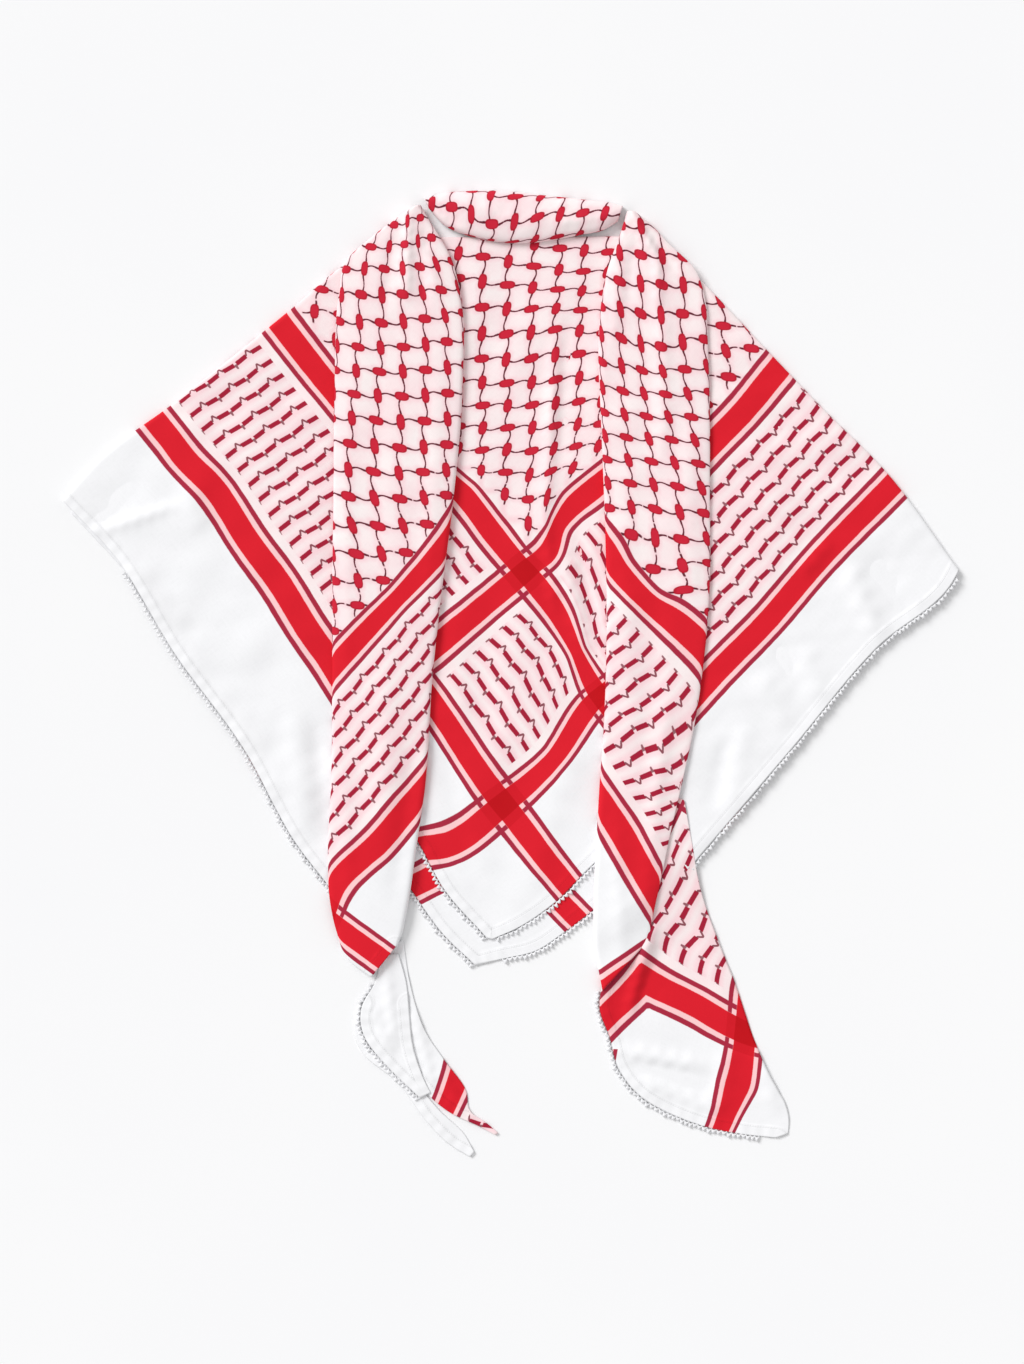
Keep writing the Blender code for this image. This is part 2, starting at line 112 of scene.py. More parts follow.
@dataclass(frozen=True)
class PatternSizes:
    """Sizes of the woven pattern, in millimetres of cloth."""

    side: float = 1300.0
    outer_band: float = 98.5
    inner_band: float = 240.5
    solid: float = 9.9
    stripe_from: float = 14.1
    stripe_to: float = 18.3
    knot_pitch: float = 22.7
    knot_long: float = 6.9
    knot_short: float = 3.9
    knot_lean: float = 0.17
    knot_power: float = 2.7
    knot_rim: float = 0.82
    line: float = 0.66
    sway_bow: float = 1.5
    sway_wave: float = 1.2
    dash_period: float = 31.0
    dash_from: float = 1.2
    dash_to: float = 12.6
    dash_thick: float = 2.15
    row_pitch: float = 961.0 / 59.0
    zigzag: float = 0.6
    row_end: float = 25.7
    row_side: float = 22.0
    spike_wide: float = 1.6
    spike_taper: float = 0.16
    spike_end: float = 5.4
    tick_half: float = 2.9
    tick_deep: float = 5.4
    tick_thick: float = 0.95
    stub_end: float = 10.6
    wobble: float = 0.55
    drift: float = 0.8


@dataclass(frozen=True)
class CottonFinish:
    """Colours (as seen on a display) and surface values of the cloth."""

    border: tuple = (247, 247, 249)
    thread_low: tuple = (222, 222, 226)
    thread_high: tuple = (250, 250, 251)
    ground: tuple = (253, 243, 242)
    halo: tuple = (252, 212, 218)
    stripe: tuple = (255, 207, 209)
    band: tuple = (222, 28, 44)
    crossing: tuple = (196, 12, 24)
    thin: tuple = (172, 42, 66)
    knot: tuple = (206, 36, 58)
    knot_rim: tuple = (160, 10, 34)
    line: tuple = (104, 36, 50)
    dash: tuple = (168, 30, 56)
    tick: tuple = (124, 30, 50)
    roughness: float = 0.62
    sheen: float = 0.03
    sheen_roughness: float = 0.4
    specular: float = 0.12
    weave: float = 0.55


CLOTH = ClothSizes()
PATTERN = PatternSizes()
FINISH = CottonFinish()


# ---- the laid shape: rails (x, y) -----------------------------------------------------
LEFT_SHOULDER = (
    (-0.100, 0.393), (-0.122, 0.384), (-0.147, 0.370), (-0.199, 0.327),
    (-0.308, 0.240), (-0.366, 0.197), (-0.403, 0.157),
)
RIGHT_SHOULDER = (
    (0.122, 0.393), (0.146, 0.377), (0.170, 0.355), (0.234, 0.288),
    (0.282, 0.238), (0.337, 0.183), (0.403, 0.094),
)
LEFT_FLAP_HEM = (
    (-0.403, 0.157), (-0.353, 0.103), (-0.303, 0.021), (-0.240, -0.066),
    (-0.192, -0.153), (-0.163, -0.191), (-0.135, -0.232),
)
RIGHT_FLAP_HEM = (
    (0.403, 0.094), (0.397, 0.083), (0.330, 0.025), (0.254, -0.065),
    (0.171, -0.162), (0.128, -0.212),
)
TOP_HEM_LEFT = ((-0.396, 0.153), (-0.232, 0.000), (-0.080, -0.156), (-0.061, -0.191), (-0.021, -0.237))
TOP_HEM_RIGHT = (
    (0.394, 0.090), (0.234, -0.042), (0.070, -0.175), (0.040, -0.205), (0.008, -0.227), (-0.017, -0.238),
)
UNDER_HEM_LEFT = ((-0.396, 0.146), (-0.234, -0.028), (-0.090, -0.193), (-0.061, -0.233), (-0.031, -0.262))
UNDER_HEM_RIGHT = (
    (0.394, 0.084), (0.234, -0.062), (0.072, -0.214), (0.047, -0.233), (0.024, -0.248), (-0.009, -0.256),
)
NECK_LEFT = (-0.091, 0.396)
NECK_RIGHT = (0.112, 0.397)

# outer x, outer y, inner x, inner y, pitches up to the outer edge's foot
LEFT_TAIL = (
    (-0.088, 0.4195, -0.0805, 0.4215, 0.2), (-0.105, 0.408, -0.074, 0.410, 0.2),
    (-0.130, 0.388, -0.061, 0.389, 4.3), (-0.148, 0.371, -0.052, 0.371, 4.3),
    (-0.1535, 0.345, -0.045, 0.342, 4.3), (-0.158, 0.256, -0.043, 0.256, 4.3),
    (-0.159, 0.158, -0.051, 0.158, 4.3), (-0.160, 0.079, -0.061, 0.079, 4.3),
    (-0.160, -0.004, -0.070, -0.004, 4.3), (-0.161, -0.096, -0.076, -0.096, 4.3),
    (-0.164, -0.170, -0.085, -0.160, 4.5), (-0.162, -0.205, -0.090, -0.196, 4.5),
    (-0.156, -0.232, -0.094, -0.218, 4.5), (-0.147, -0.255, -0.097, -0.232, 4.5),
    (-0.125, -0.272, -0.101, -0.242, 4.5),
)
RIGHT_TAIL = (
    (0.1125, 0.4155, 0.1045, 0.4155, 0.2), (0.126, 0.404, 0.101, 0.404, 0.2),
    (0.144, 0.385, 0.0945, 0.385, 4.3), (0.166, 0.363, 0.087, 0.363, 4.3),
    (0.1745, 0.338, 0.082, 0.338, 4.3), (0.177, 0.302, 0.079, 0.302, 4.3),
    (0.179, 0.234, 0.081, 0.234, 4.3), (0.179, 0.158, 0.084, 0.158, 4.3),
    (0.179, 0.080, 0.086, 0.080, 4.3), (0.175, 0.025, 0.086, 0.025, 4.3),
    (0.166, -0.041, 0.084, -0.041, 4.3), (0.154, -0.098, 0.080, -0.098, 5.6),
    (0.144, -0.141, 0.077, -0.150, 5.6), (0.136, -0.180, 0.0745, -0.200, 5.6),
    (0.129, -0.212, 0.0750, -0.240, 5.6), (0.124, -0.239, 0.0825, -0.284, 5.6),
)
# top x, top y, lower x, lower y
COLLAR = (
    (-0.077, 0.4275, -0.0735, 0.419), (-0.066, 0.4315, -0.061, 0.405),
    (-0.040, 0.4345, -0.029, 0.392), (-0.010, 0.435, 0.001, 0.3875),
    (0.028, 0.431, 0.030, 0.389), (0.064, 0.427, 0.063, 0.395),
    (0.090, 0.424, 0.085, 0.400), (0.101, 0.421, 0.0965, 0.407),
)
# left x, left y, right x, right y
RIGHT_TAIL_END = (
    (0.148, -0.110, 0.156, -0.113), (0.137, -0.141, 0.162, -0.146),
    (0.122, -0.190, 0.172, -0.197), (0.102, -0.225, 0.186, -0.237),
    (0.0825, -0.278, 0.203, -0.280), (0.0805, -0.302, 0.211, -0.304),
    (0.0885, -0.3245, 0.218, -0.325),
    (0.099, -0.358, 0.231, -0.356), (0.119, -0.381, 0.241, -0.374),
    (0.168, -0.4045, 0.248, -0.388), (0.210, -0.4135, 0.2505, -0.402),
    (0.240, -0.4165, 0.2495, -0.413),
)
LEFT_TAIL_END = (
    (-0.116, -0.252, -0.101, -0.251), (-0.121, -0.275, -0.094, -0.276),
    (-0.134, -0.300, -0.091, -0.302), (-0.132, -0.324, -0.088, -0.332),
    (-0.110, -0.353, -0.079, -0.361), (-0.081, -0.381, -0.072, -0.376),
)
LEFT_TAIL_TIP = (
    (-0.112, -0.247, -0.0965, -0.238), (-0.104, -0.275, -0.091, -0.275),
    (-0.100, -0.310, -0.078, -0.318), (-0.094, -0.345, -0.060, -0.346),
    (-0.078, -0.374, -0.040, -0.374), (-0.056, -0.393, -0.0365, -0.392),
    (-0.028, -0.4065, -0.021, -0.404), (-0.013, -0.4145, -0.011, -0.4125),
)
LEFT_TAIL_TIP_UNDER = (
    (-0.136, -0.296, -0.126, -0.300), (-0.141, -0.318, -0.119, -0.322),
    (-0.133, -0.341, -0.104, -0.345), (-0.104, -0.365, -0.090, -0.361),
    (-0.074, -0.404, -0.062, -0.394), (-0.054, -0.4235, -0.0415, -0.4135),
    (-0.036, -0.434, -0.0325, -0.430),
)

# ---- hem lines past which the layers above sink ---------------------------------------
BACK_HEM_LINES = (((-0.403, 0.150), (-0.090, -0.193)), ((0.403, 0.086), (0.072, -0.214)))
FLAP_HEM_LINES = (((-0.163, -0.191), (-0.120, -0.254)), ((0.171, -0.162), (0.117, -0.225)))

# ---- creases: x0, y0, x1, y1, half width, height (a trough is below 0) -------------------
BACK_CREASES = (
    (0.041, 0.300, 0.031, 0.140, 0.0060, 0.0026),
    (0.052, 0.320, 0.046, 0.190, 0.0070, -0.0012),
    (0.031, 0.140, 0.040, 0.060, 0.0060, 0.0022),
    (0.045, 0.115, 0.066, 0.020, 0.0070, 0.0022),
    (0.060, 0.130, 0.078, 0.030, 0.0060, -0.0014),
    (-0.040, 0.330, -0.030, 0.180, 0.0150, 0.0010),
    (-0.050, 0.060, -0.036, -0.120, 0.0120, 0.0010),
    (0.016, 0.080, 0.012, -0.080, 0.0180, 0.0008),
    (0.060, -0.060, 0.020, -0.190, 0.0140, 0.0012),
    (-0.058, -0.080, -0.030, -0.200, 0.0100, -0.0008),
)
LEFT_FLAP_CREASES = (
    (-0.395, 0.120, -0.300, 0.152, 0.0060, 0.0020),
    (-0.372, 0.128, -0.330, 0.176, 0.0140, -0.0010),
    (-0.352, 0.112, -0.278, 0.012, 0.0120, 0.0022),
    (-0.316, 0.060, -0.210, -0.066, 0.0140, -0.0012),
    (-0.278, 0.012, -0.196, -0.110, 0.0130, 0.0016),
    (-0.290, 0.170, -0.278, 0.130, 0.0120, 0.0016),
    (-0.240, 0.250, -0.200, 0.150, 0.0200, 0.0008),
    (-0.176, -0.040, -0.166, -0.150, 0.0090, -0.0018),
    (-0.196, -0.030, -0.184, -0.140, 0.0110, 0.0016),
    (-0.214, 0.070, -0.180, -0.020, 0.0160, 0.0008),
    (-0.330, 0.205, -0.260, 0.110, 0.0220, 0.0008),
)
RIGHT_FLAP_CREASES = (
    (0.286, 0.118, 0.262, 0.090, 0.0080, 0.0022),
    (0.302, 0.098, 0.332, 0.030, 0.0100, 0.0026),
    (0.322, 0.104, 0.356, 0.052, 0.0120, -0.0012),
    (0.222, -0.004, 0.250, -0.046, 0.0110, 0.0018),
    (0.262, 0.022, 0.282, -0.022, 0.0110, 0.0016),
    (0.240, 0.030, 0.262, -0.020, 0.0090, -0.0010),
    (0.196, -0.060, 0.180, -0.120, 0.0080, -0.0016),
    (0.212, -0.040, 0.196, -0.120, 0.0100, 0.0014),
    (0.250, 0.200, 0.220, 0.080, 0.0240, 0.0008),
    (0.370, 0.130, 0.300, 0.160, 0.0140, 0.0010),
)
LEFT_TAIL_CREASES = (
    (-0.091, 0.412, -0.093, 0.338, 0.0050, 0.0030),
    (-0.085, 0.400, -0.064, 0.340, 0.0050, 0.0018),
    (-0.104, 0.395, -0.112, 0.330, 0.0060, -0.0016),
    (-0.078, 0.400, -0.078, 0.330, 0.0050, -0.0014),
    (-0.146, 0.250, -0.148, -0.020, 0.0070, 0.0010),
    (-0.120, 0.300, -0.122, 0.020, 0.0120, -0.0008),
    (-0.062, 0.300, -0.074, 0.060, 0.0080, 0.0010),
    (-0.112, 0.020, -0.114, -0.150, 0.0120, 0.0012),
    (-0.086, -0.060, -0.104, -0.200, 0.0080, -0.0012),
    (-0.150, -0.090, -0.146, -0.200, 0.0080, 0.0010),
)
RIGHT_TAIL_CREASES = (
    (0.107, 0.416, 0.131, 0.377, 0.0045, 0.0034),
    (0.131, 0.377, 0.133, 0.330, 0.0050, 0.0026),
    (0.120, 0.400, 0.150, 0.360, 0.0045, -0.0018),
    (0.112, 0.390, 0.106, 0.330, 0.0060, -0.0014),
    (0.098, 0.380, 0.092, 0.300, 0.0060, 0.0016),
    (0.136, 0.330, 0.138, 0.200, 0.0070, 0.0014),
    (0.124, 0.330, 0.120, 0.160, 0.0100, -0.0010),
    (0.160, 0.240, 0.164, 0.060, 0.0090, 0.0010),
    (0.100, 0.160, 0.106, -0.040, 0.0100, 0.0010),
    (0.130, 0.060, 0.118, -0.140, 0.0110, -0.0012),
    (0.140, -0.020, 0.122, -0.200, 0.0080, 0.0014),
    (0.094, -0.120, 0.100, -0.260, 0.0080, 0.0012),
)
RIGHT_END_CREASES = (
    (0.128, -0.225, 0.106, -0.305, 0.0060, 0.0040),
    (0.138, -0.240, 0.120, -0.300, 0.0080, -0.0014),
    (0.100, -0.338, 0.172, -0.352, 0.0070, 0.0026),
    (0.110, -0.352, 0.190, -0.372, 0.0080, -0.0014),
    (0.118, -0.364, 0.186, -0.392, 0.0070, 0.0020),
    (0.196, -0.336, 0.184, -0.400, 0.0100, 0.0016),
    (0.226, -0.330, 0.238, -0.392, 0.0090, 0.0018),
    (0.160, -0.200, 0.196, -0.290, 0.0120, 0.0012),
)
LEFT_END_CREASES = (
    (-0.112, -0.262, -0.104, -0.330, 0.0060, 0.0014),
    (-0.124, -0.300, -0.106, -0.345, 0.0060, 0.0012),
)
TIP_CREASES = (
    (-0.086, -0.300, -0.070, -0.372, 0.0060, 0.0016),
    (-0.066, -0.350, -0.040, -0.398, 0.0060, 0.0012),
)
COLLAR_CREASES = (
    (-0.070, 0.425, -0.044, 0.402, 0.0040, -0.0016),
    (-0.050, 0.428, 0.010, 0.404, 0.0060, 0.0012),
    (0.000, 0.426, 0.070, 0.412, 0.0060, -0.0010),
    (0.040, 0.404, 0.094, 0.412, 0.0050, 0.0012),
)


# ---- cloth coordinates of known places ---------------------------------------------------
@dataclass(frozen=True)
class Turn:
    """How the net's knots step over the surface: p and q gained a knot to the right and down."""

    right_p: int
    right_q: int
    down_p: int
    down_q: int


MIDDLE_TURN = Turn(0, -1, 1, 0)
LEFT_TURN = Turn(1, 0, 0, 1)
RIGHT_TURN = Turn(-1, 0, 0, -1)


@dataclass(frozen=True)
class Places:
    """Where known places of the cloth lie.

    lines has rows of x, y, a, b; knots has rows of x, y, knots right and knots down from the
    first knot, which lies at start (a, b). The first knot is one that is long along p.
    """

    lines: Table
    knots: Table = ()
    start: tuple[float, float] = (0.65, 0.65)
    turn: Turn = MIDDLE_TURN
    dash: float = 0.0

    def rows(self) -> np.ndarray:
        """Every place as x, y, a, b.

        Returns:
            An array of four columns.
        """
        found = [np.asarray(self.lines, float).reshape(-1, 4)]
        if len(self.knots):
            knot = np.asarray(self.knots, float)
            pitch = PATTERN.knot_pitch / 1000.0
            p, q = self.net_start()
            p = p + pitch * (knot[:, 2] * self.turn.right_p + knot[:, 3] * self.turn.down_p)
            q = q + pitch * (knot[:, 2] * self.turn.right_q + knot[:, 3] * self.turn.down_q)
            root = math.sqrt(2.0)
            found.append(np.column_stack([knot[:, :2], (p - q) / root, (p + q) / root]))
        return np.vstack(found)

    def net_start(self) -> tuple[float, float]:
        """The first knot along the two diagonals.

        Returns:
            p and q in metres.
        """
        a, b = self.start
        return (a + b) / math.sqrt(2.0), (b - a) / math.sqrt(2.0)


MIDDLE_PLACES = Places(
    lines=(
        (0.0288, 0.0923, 1.0715, 1.0475), (-0.0032, 0.0938, 1.0475, 1.0715),
        (-0.0039, -0.0997, 1.1895, 1.1895), (-0.0238, -0.1147, 1.1895, 1.2135),
        (-0.0076, -0.1346, 1.2135, 1.2135), (0.0805, -0.0185, 1.2015, 1.0595),
        (0.0671, -0.0181, 1.1895, 1.0715), (-0.0703, 0.0011, 1.0757, 1.1854),
        (-0.0193, -0.2389, 1.3000, 1.3000), (-0.0296, 0.1186, 1.0109, 1.0757),
        (-0.0320, 0.1716, 0.9712, 1.0434), (-0.0500, 0.1461, 0.9775, 1.0757),
        (-0.0184, 0.0456, 1.0757, 1.1136), (-0.0435, 0.0452, 1.0595, 1.1330),
        (0.0299, 0.0721, 1.0861, 1.0595), (0.0336, 0.0427, 1.1150, 1.0757),
        (0.0562, 0.0577, 1.1150, 1.0434), (0.0597, 0.0207, 1.1490, 1.0595),
        (0.0511, 0.0163, 1.1490, 1.0757), (0.0670, 0.0244, 1.1490, 1.0434),
        (0.0743, -0.0095, 1.1860, 1.0595), (0.0347, 0.1094, 1.0595, 1.0293),
        (0.0410, 0.1314, 1.0595, 1.0064), (0.0331, 0.1344, 1.0434, 1.0064),
        (0.0534, 0.1268, 1.0757, 1.0064), (0.0572, 0.1517, 1.0595, 0.9819),
        (0.0466, 0.1625, 1.0434, 0.9819), (0.0672, 0.1416, 1.0757, 0.9819),
        (0.0586, 0.1734, 1.0434, 0.9673), (0.0780, 0.1489, 1.0757, 0.9673),
        (-0.0360, -0.0763, 1.1507, 1.2015), (0.0299, -0.0669, 1.1854, 1.1422),
        (0.0457, -0.0874, 1.2176, 1.1422), (-0.0566, -0.1544, 1.2015, 1.2644),
        (-0.0800, -0.1560, 1.2015, 1.2950), (0.0325, -0.1670, 1.2644, 1.2015),
    ),
    knots=(
        (-0.0247, 0.3757, -2, -11), (0.0437, 0.3636, 1, -11), (-0.0256, 0.3065, -2, -8),
        (0.0401, 0.3105, 1, -8), (0.0189, 0.2840, 0, -7), (-0.0040, 0.2830, -1, -7),
        (0.0160, 0.1364, 0, 0), (0.0160, 0.1571, 0, -1), (-0.0053, 0.1625, -1, -1),
        (0.0171, 0.1791, 0, -2), (-0.0266, 0.1833, -2, -2), (0.0192, 0.2008, 0, -3),
        (-0.0032, 0.2025, -1, -3), (-0.0256, 0.2015, -2, -3),
    ),
    start=(1.0294, 1.0248),
    turn=MIDDLE_TURN,
    dash=16.2,
)
UNDER_PLACES = Places(
    lines=(
        (-0.0760, -0.1850, 1.2015, 1.2800), (-0.0200, -0.2590, 1.3000, 1.3000),
        (0.0500, -0.2100, 1.2800, 1.2015), (0.0000, 0.1000, 1.0500, 1.0500),
    ),
)
LEFT_WING_PLACES = Places(
    lines=(
        (-0.4030, 0.1570, 0.0000, 0.5500), (-0.3530, 0.1031, 0.0000, 0.6236),
        (-0.3030, 0.0211, 0.0000, 0.7196), (-0.2400, -0.0660, 0.0000, 0.8271),
        (-0.1920, -0.1530, 0.0000, 0.9266), (-0.3075, 0.2141, 0.0985, 0.5566),
        (-0.2896, 0.1902, 0.0985, 0.5865), (-0.2681, 0.1703, 0.0985, 0.6155),
        (-0.2363, 0.1206, 0.0985, 0.6745), (-0.2086, 0.0842, 0.0985, 0.7203),
        (-0.1769, 0.0323, 0.0985, 0.7812), (-0.1645, 0.0164, 0.0985, 0.8013),
        (-0.1588, 0.0067, 0.0985, 0.8120), (-0.2067, 0.3147, 0.2405, 0.5310),
        (-0.1760, 0.2752, 0.2405, 0.5811),
    ),
    knots=(
        (-0.1699, 0.3461, 0, 0), (-0.1761, 0.3265, 0, 1),
    ),
    start=(0.2860, 0.5263),
    turn=LEFT_TURN,
    dash=15.5,
)
RIGHT_WING_PLACES = Places(
    lines=(
        (0.4030, 0.0940, 0.5500, 0.0000), (0.3300, 0.0250, 0.6512, 0.0000),
        (0.2540, -0.0650, 0.7690, 0.0000), (0.1710, -0.1620, 0.8966, 0.0000),
        (0.3430, 0.1701, 0.5324, 0.0985), (0.2816, 0.1073, 0.6202, 0.0985),
        (0.2305, 0.0475, 0.6986, 0.0985), (0.1921, 0.0090, 0.7532, 0.0985),
        (0.2389, 0.2722, 0.5246, 0.2405), (0.2106, 0.2374, 0.5692, 0.2405),
        (0.1804, 0.2065, 0.6125, 0.2405),
    ),
    knots=(
        (0.1912, 0.3130, 0, -2), (0.2164, 0.2930, 1, -1),
    ),
    start=(0.5566, 0.2689),
    turn=RIGHT_TURN,
    dash=9.0,
)
LEFT_TAIL_PLACES = Places(
    lines=(
        (-0.1669, -0.2173, 0.2405, 1.2015), (-0.1580, -0.1895, 0.2698, 1.2015),
        (-0.1301, -0.1392, 0.3237, 1.1854), (-0.1080, -0.1643, 0.3237, 1.2176),
        (-0.1092, -0.1146, 0.3561, 1.1854), (-0.0870, -0.1398, 0.3561, 1.2176),
        (-0.0742, -0.0994, 0.3927, 1.2015), (-0.1588, 0.0067, 0.4124, 1.0595),
        (-0.1098, 0.0768, 0.4966, 1.0434), (-0.0929, 0.0597, 0.4966, 1.0757),
        (-0.0872, 0.1033, 0.5314, 1.0434), (-0.0683, 0.0841, 0.5314, 1.0757),
        (-0.0544, 0.1210, 0.5672, 1.0595), (-0.1100, -0.2590, 0.2405, 1.2900),
    ),
    knots=(
        (-0.1422, 0.2299, -2, -3), (-0.0563, 0.2291, 2, -3), (-0.1454, 0.1598, -2, 0),
        (-0.0571, 0.1606, 2, 0), (-0.0994, 0.2029, 0, -2), (-0.1157, 0.3150, -1, -7),
        (-0.0586, 0.3218, 2, -7), (-0.1309, 0.3643, -2, -9), (-0.0662, 0.3677, 2, -9),
        (-0.1040, 0.4029, -1, -11), (-0.0712, 0.3919, 2, -10),
    ),
    start=(0.5633, 1.0020),
    turn=LEFT_TURN,
    dash=-9.7,
)
RIGHT_TAIL_PLACES = Places(
    lines=(
        (0.0805, 0.1166, 1.0595, 0.5676), (0.1251, 0.0640, 1.0595, 0.4984),
        (0.1750, 0.0221, 1.0595, 0.4340), (0.1085, 0.1037, 1.0434, 0.5380),
        (0.1347, 0.0738, 1.0434, 0.4984), (0.0938, 0.0617, 1.0857, 0.5197),
        (0.1396, 0.0128, 1.0857, 0.4546), (0.1502, 0.0018, 1.0857, 0.4383),
        (0.1142, -0.0068, 1.1167, 0.4546), (0.1266, -0.0218, 1.1167, 0.4383),
        (0.1382, -0.0334, 1.1167, 0.4220), (0.0876, -0.0272, 1.1477, 0.4546),
        (0.1009, -0.0369, 1.1477, 0.4383), (0.1115, -0.0502, 1.1477, 0.4220),
        (0.0797, -0.1112, 1.2015, 0.3870), (0.1005, -0.1441, 1.2015, 0.3481),
        (0.1156, -0.1354, 1.1854, 0.3481), (0.1180, -0.1743, 1.2015, 0.3131),
        (0.1319, -0.1662, 1.1854, 0.3131), (0.1026, -0.1832, 1.2176, 0.3131),
        (0.0925, -0.0843, 1.1760, 0.4057), (0.1107, -0.1117, 1.1760, 0.3731),
        (0.1212, -0.1260, 1.1760, 0.3568), (0.1533, -0.0792, 1.1190, 0.3894),
    ),
    knots=(
        (0.0994, 0.3017, 0, -8), (0.1347, 0.2931, 2, -8), (0.1543, 0.2982, 3, -8),
        (0.1531, 0.1210, 2, 0), (0.1084, 0.1260, 0, 0), (0.1562, 0.0761, 2, 2),
    ),
    start=(1.0347, 0.5497),
    turn=RIGHT_TURN,
    dash=16.2,
)
RIGHT_END_PLACES = Places(
    lines=(
        (0.2112, -0.3227, 1.2015, 0.0985), (0.1639, -0.2959, 1.2015, 0.1525),
        (0.1158, -0.2723, 1.2015, 0.2065), (0.2039, -0.3695, 1.2510, 0.0985),
        (0.2207, -0.3741, 1.2510, 0.0824), (0.1866, -0.3652, 1.2510, 0.1147),
        (0.1899, -0.4082, 1.2923, 0.0985), (0.2497, -0.4171, 1.3000, 0.0000),
        (0.1851, -0.2765, 1.1745, 0.1288), (0.1529, -0.2589, 1.1745, 0.1614),
        (0.1238, -0.2368, 1.1745, 0.1939), (0.1700, -0.1885, 1.1140, 0.1776),
        (0.1560, -0.1764, 1.1140, 0.1939), (0.1589, -0.1371, 1.0857, 0.2102),
        (0.1358, -0.1865, 1.1330, 0.2102), (0.1691, -0.2333, 1.1471, 0.1614),
        (0.1535, -0.2191, 1.1440, 0.1776), (0.1463, -0.1992, 1.1310, 0.1939),
    ),
)
LEFT_END_PLACES = Places(
    lines=(
        (-0.130, -0.300, 0.020, 0.70), (-0.100, -0.360, 0.030, 0.76),
        (-0.050, -0.420, 0.030, 0.84), (-0.090, -0.320, 0.050, 0.70),
    ),
)
TIP_PLACES = Places(
    lines=(
        (-0.0608, -0.3443, 0.0790, 0.7000), (-0.0707, -0.3776, 0.0790, 0.7350),
        (-0.0347, -0.3830, 0.1199, 0.7300), (-0.0419, -0.3974, 0.1199, 0.7450),
        (-0.0878, -0.2570, 0.0300, 0.6000), (-0.0761, -0.3182, 0.0600, 0.6700),
    ),
)
COLLAR_PLACES = Places(
    lines=(),
    knots=(
        (0.0034, 0.4068, 0, 0), (-0.0173, 0.4050, -1, 0), (-0.0352, 0.4127, -2, 0),
        (-0.0524, 0.4183, -3, 0), (0.0240, 0.4098, 1, 0), (0.0447, 0.4121, 2, 0),
        (0.0275, 0.4263, 1, -1), (-0.0168, 0.4281, -1, -1),
    ),
    start=(0.65, 0.65),
    turn=MIDDLE_TURN,
)


# ---- geometry in whole arrays ------------------------------------------------------------
def smooth_step(t: np.ndarray) -> np.ndarray:
    """A soft S: 3t^2 - 2t^3 with t kept between 0 and 1.

    Args:
        t: places along the step.

    Returns:
        0 below the step, 1 above it.
    """
    t = np.clip(t, 0.0, 1.0)
    return t * t * (3.0 - 2.0 * t)


def resample(table: Table, at: Union[int, np.ndarray]) -> np.ndarray:
    """Read rows along a table: a cubic through the rows, spaced by the rails' own length.

    Args:
        table: rows of x, y and any further columns.
        at: how many rows to read evenly, or the places from 0 to 1.

    Returns:
        An array with a row for each place.
    """
    rows = np.asarray(table, float)
    reach = np.linalg.norm(np.diff(rows[:, :2], axis=0), axis=1)
    if rows.shape[1] >= 4:
        reach = reach + np.linalg.norm(np.diff(rows[:, 2:4], axis=0), axis=1)
    knots = np.concatenate([[0.0], np.cumsum(reach)])
    slopes = np.gradient(rows, knots, axis=0)
    place = np.linspace(0.0, 1.0, at) if isinstance(at, int) else np.asarray(at)
    place = place * knots[-1]
    i = np.clip(np.searchsorted(knots, place, side="right") - 1, 0, len(rows) - 2)
    span = (knots[i + 1] - knots[i])[:, None]
    t = (place - knots[i])[:, None] / span
    ends = (2 * t**3 - 3 * t**2 + 1) * rows[i] + (3 * t**2 - 2 * t**3) * rows[i + 1]
    lean = (t**3 - 2 * t**2 + t) * span * slopes[i] + (t**3 - t**2) * span * slopes[i + 1]
    return ends + lean


def outside(line: Table, x: np.ndarray, y: np.ndarray, side: float) -> np.ndarray:
    """How far points lie outside a hem line, measured square to it.

    Args:
        line: its two ends.
        x: places.
        y: places.
        side: -1 for the left hem and 1 for the right one.

    Returns:
        Metres, below 0 inside.
    """
    (x0, y0), (x1, y1) = line
    along = np.array([x1 - x0, y1 - y0])
    along = along / np.linalg.norm(along)
    return ((x - x0) * -along[1] + (y - y0) * along[0]) * side


def held_up(lines: Table, x: np.ndarray, y: np.ndarray, start: float, end: float) -> np.ndarray:
    """1 over the layers inside both hem lines, falling in a soft S to 0 outside them.

    Args:
        lines: the left and the right hem line.
        x: places.
        y: places.
        start: distance outside at which it starts to fall.
        end: distance at which it is 0.

    Returns:
        A share from 0 to 1.
    """
    past = np.maximum(outside(lines[0], x, y, -1.0), outside(lines[1], x, y, 1.0))
    return 1.0 - smooth_step((past - start) / (end - start))


def layer_top(layer: Layer, x: np.ndarray, y: np.ndarray) -> np.ndarray:
    """Upper face of a layer: its pitches up, less two past each hem that ends below it.

    Args:
        layer: which layer.
        x: places.
        y: places.

    Returns:
        Heights in metres.
    """
    number = layer.value
    height = np.full_like(np.asarray(x, float), float(number))
    if number >= Layer.INNER.value:
        height = height - 2.0 * (1.0 - held_up(BACK_HEM_LINES, x, y, CLOTH.spread_from, CLOTH.spread_to))
    if number > Layer.WING.value:
        flap = held_up(FLAP_HEM_LINES, x, y, CLOTH.spread_from / 2, CLOTH.spread_to)
        height = height - 2.0 * (1.0 - flap)
    return height * CLOTH.pitch + CLOTH.wall


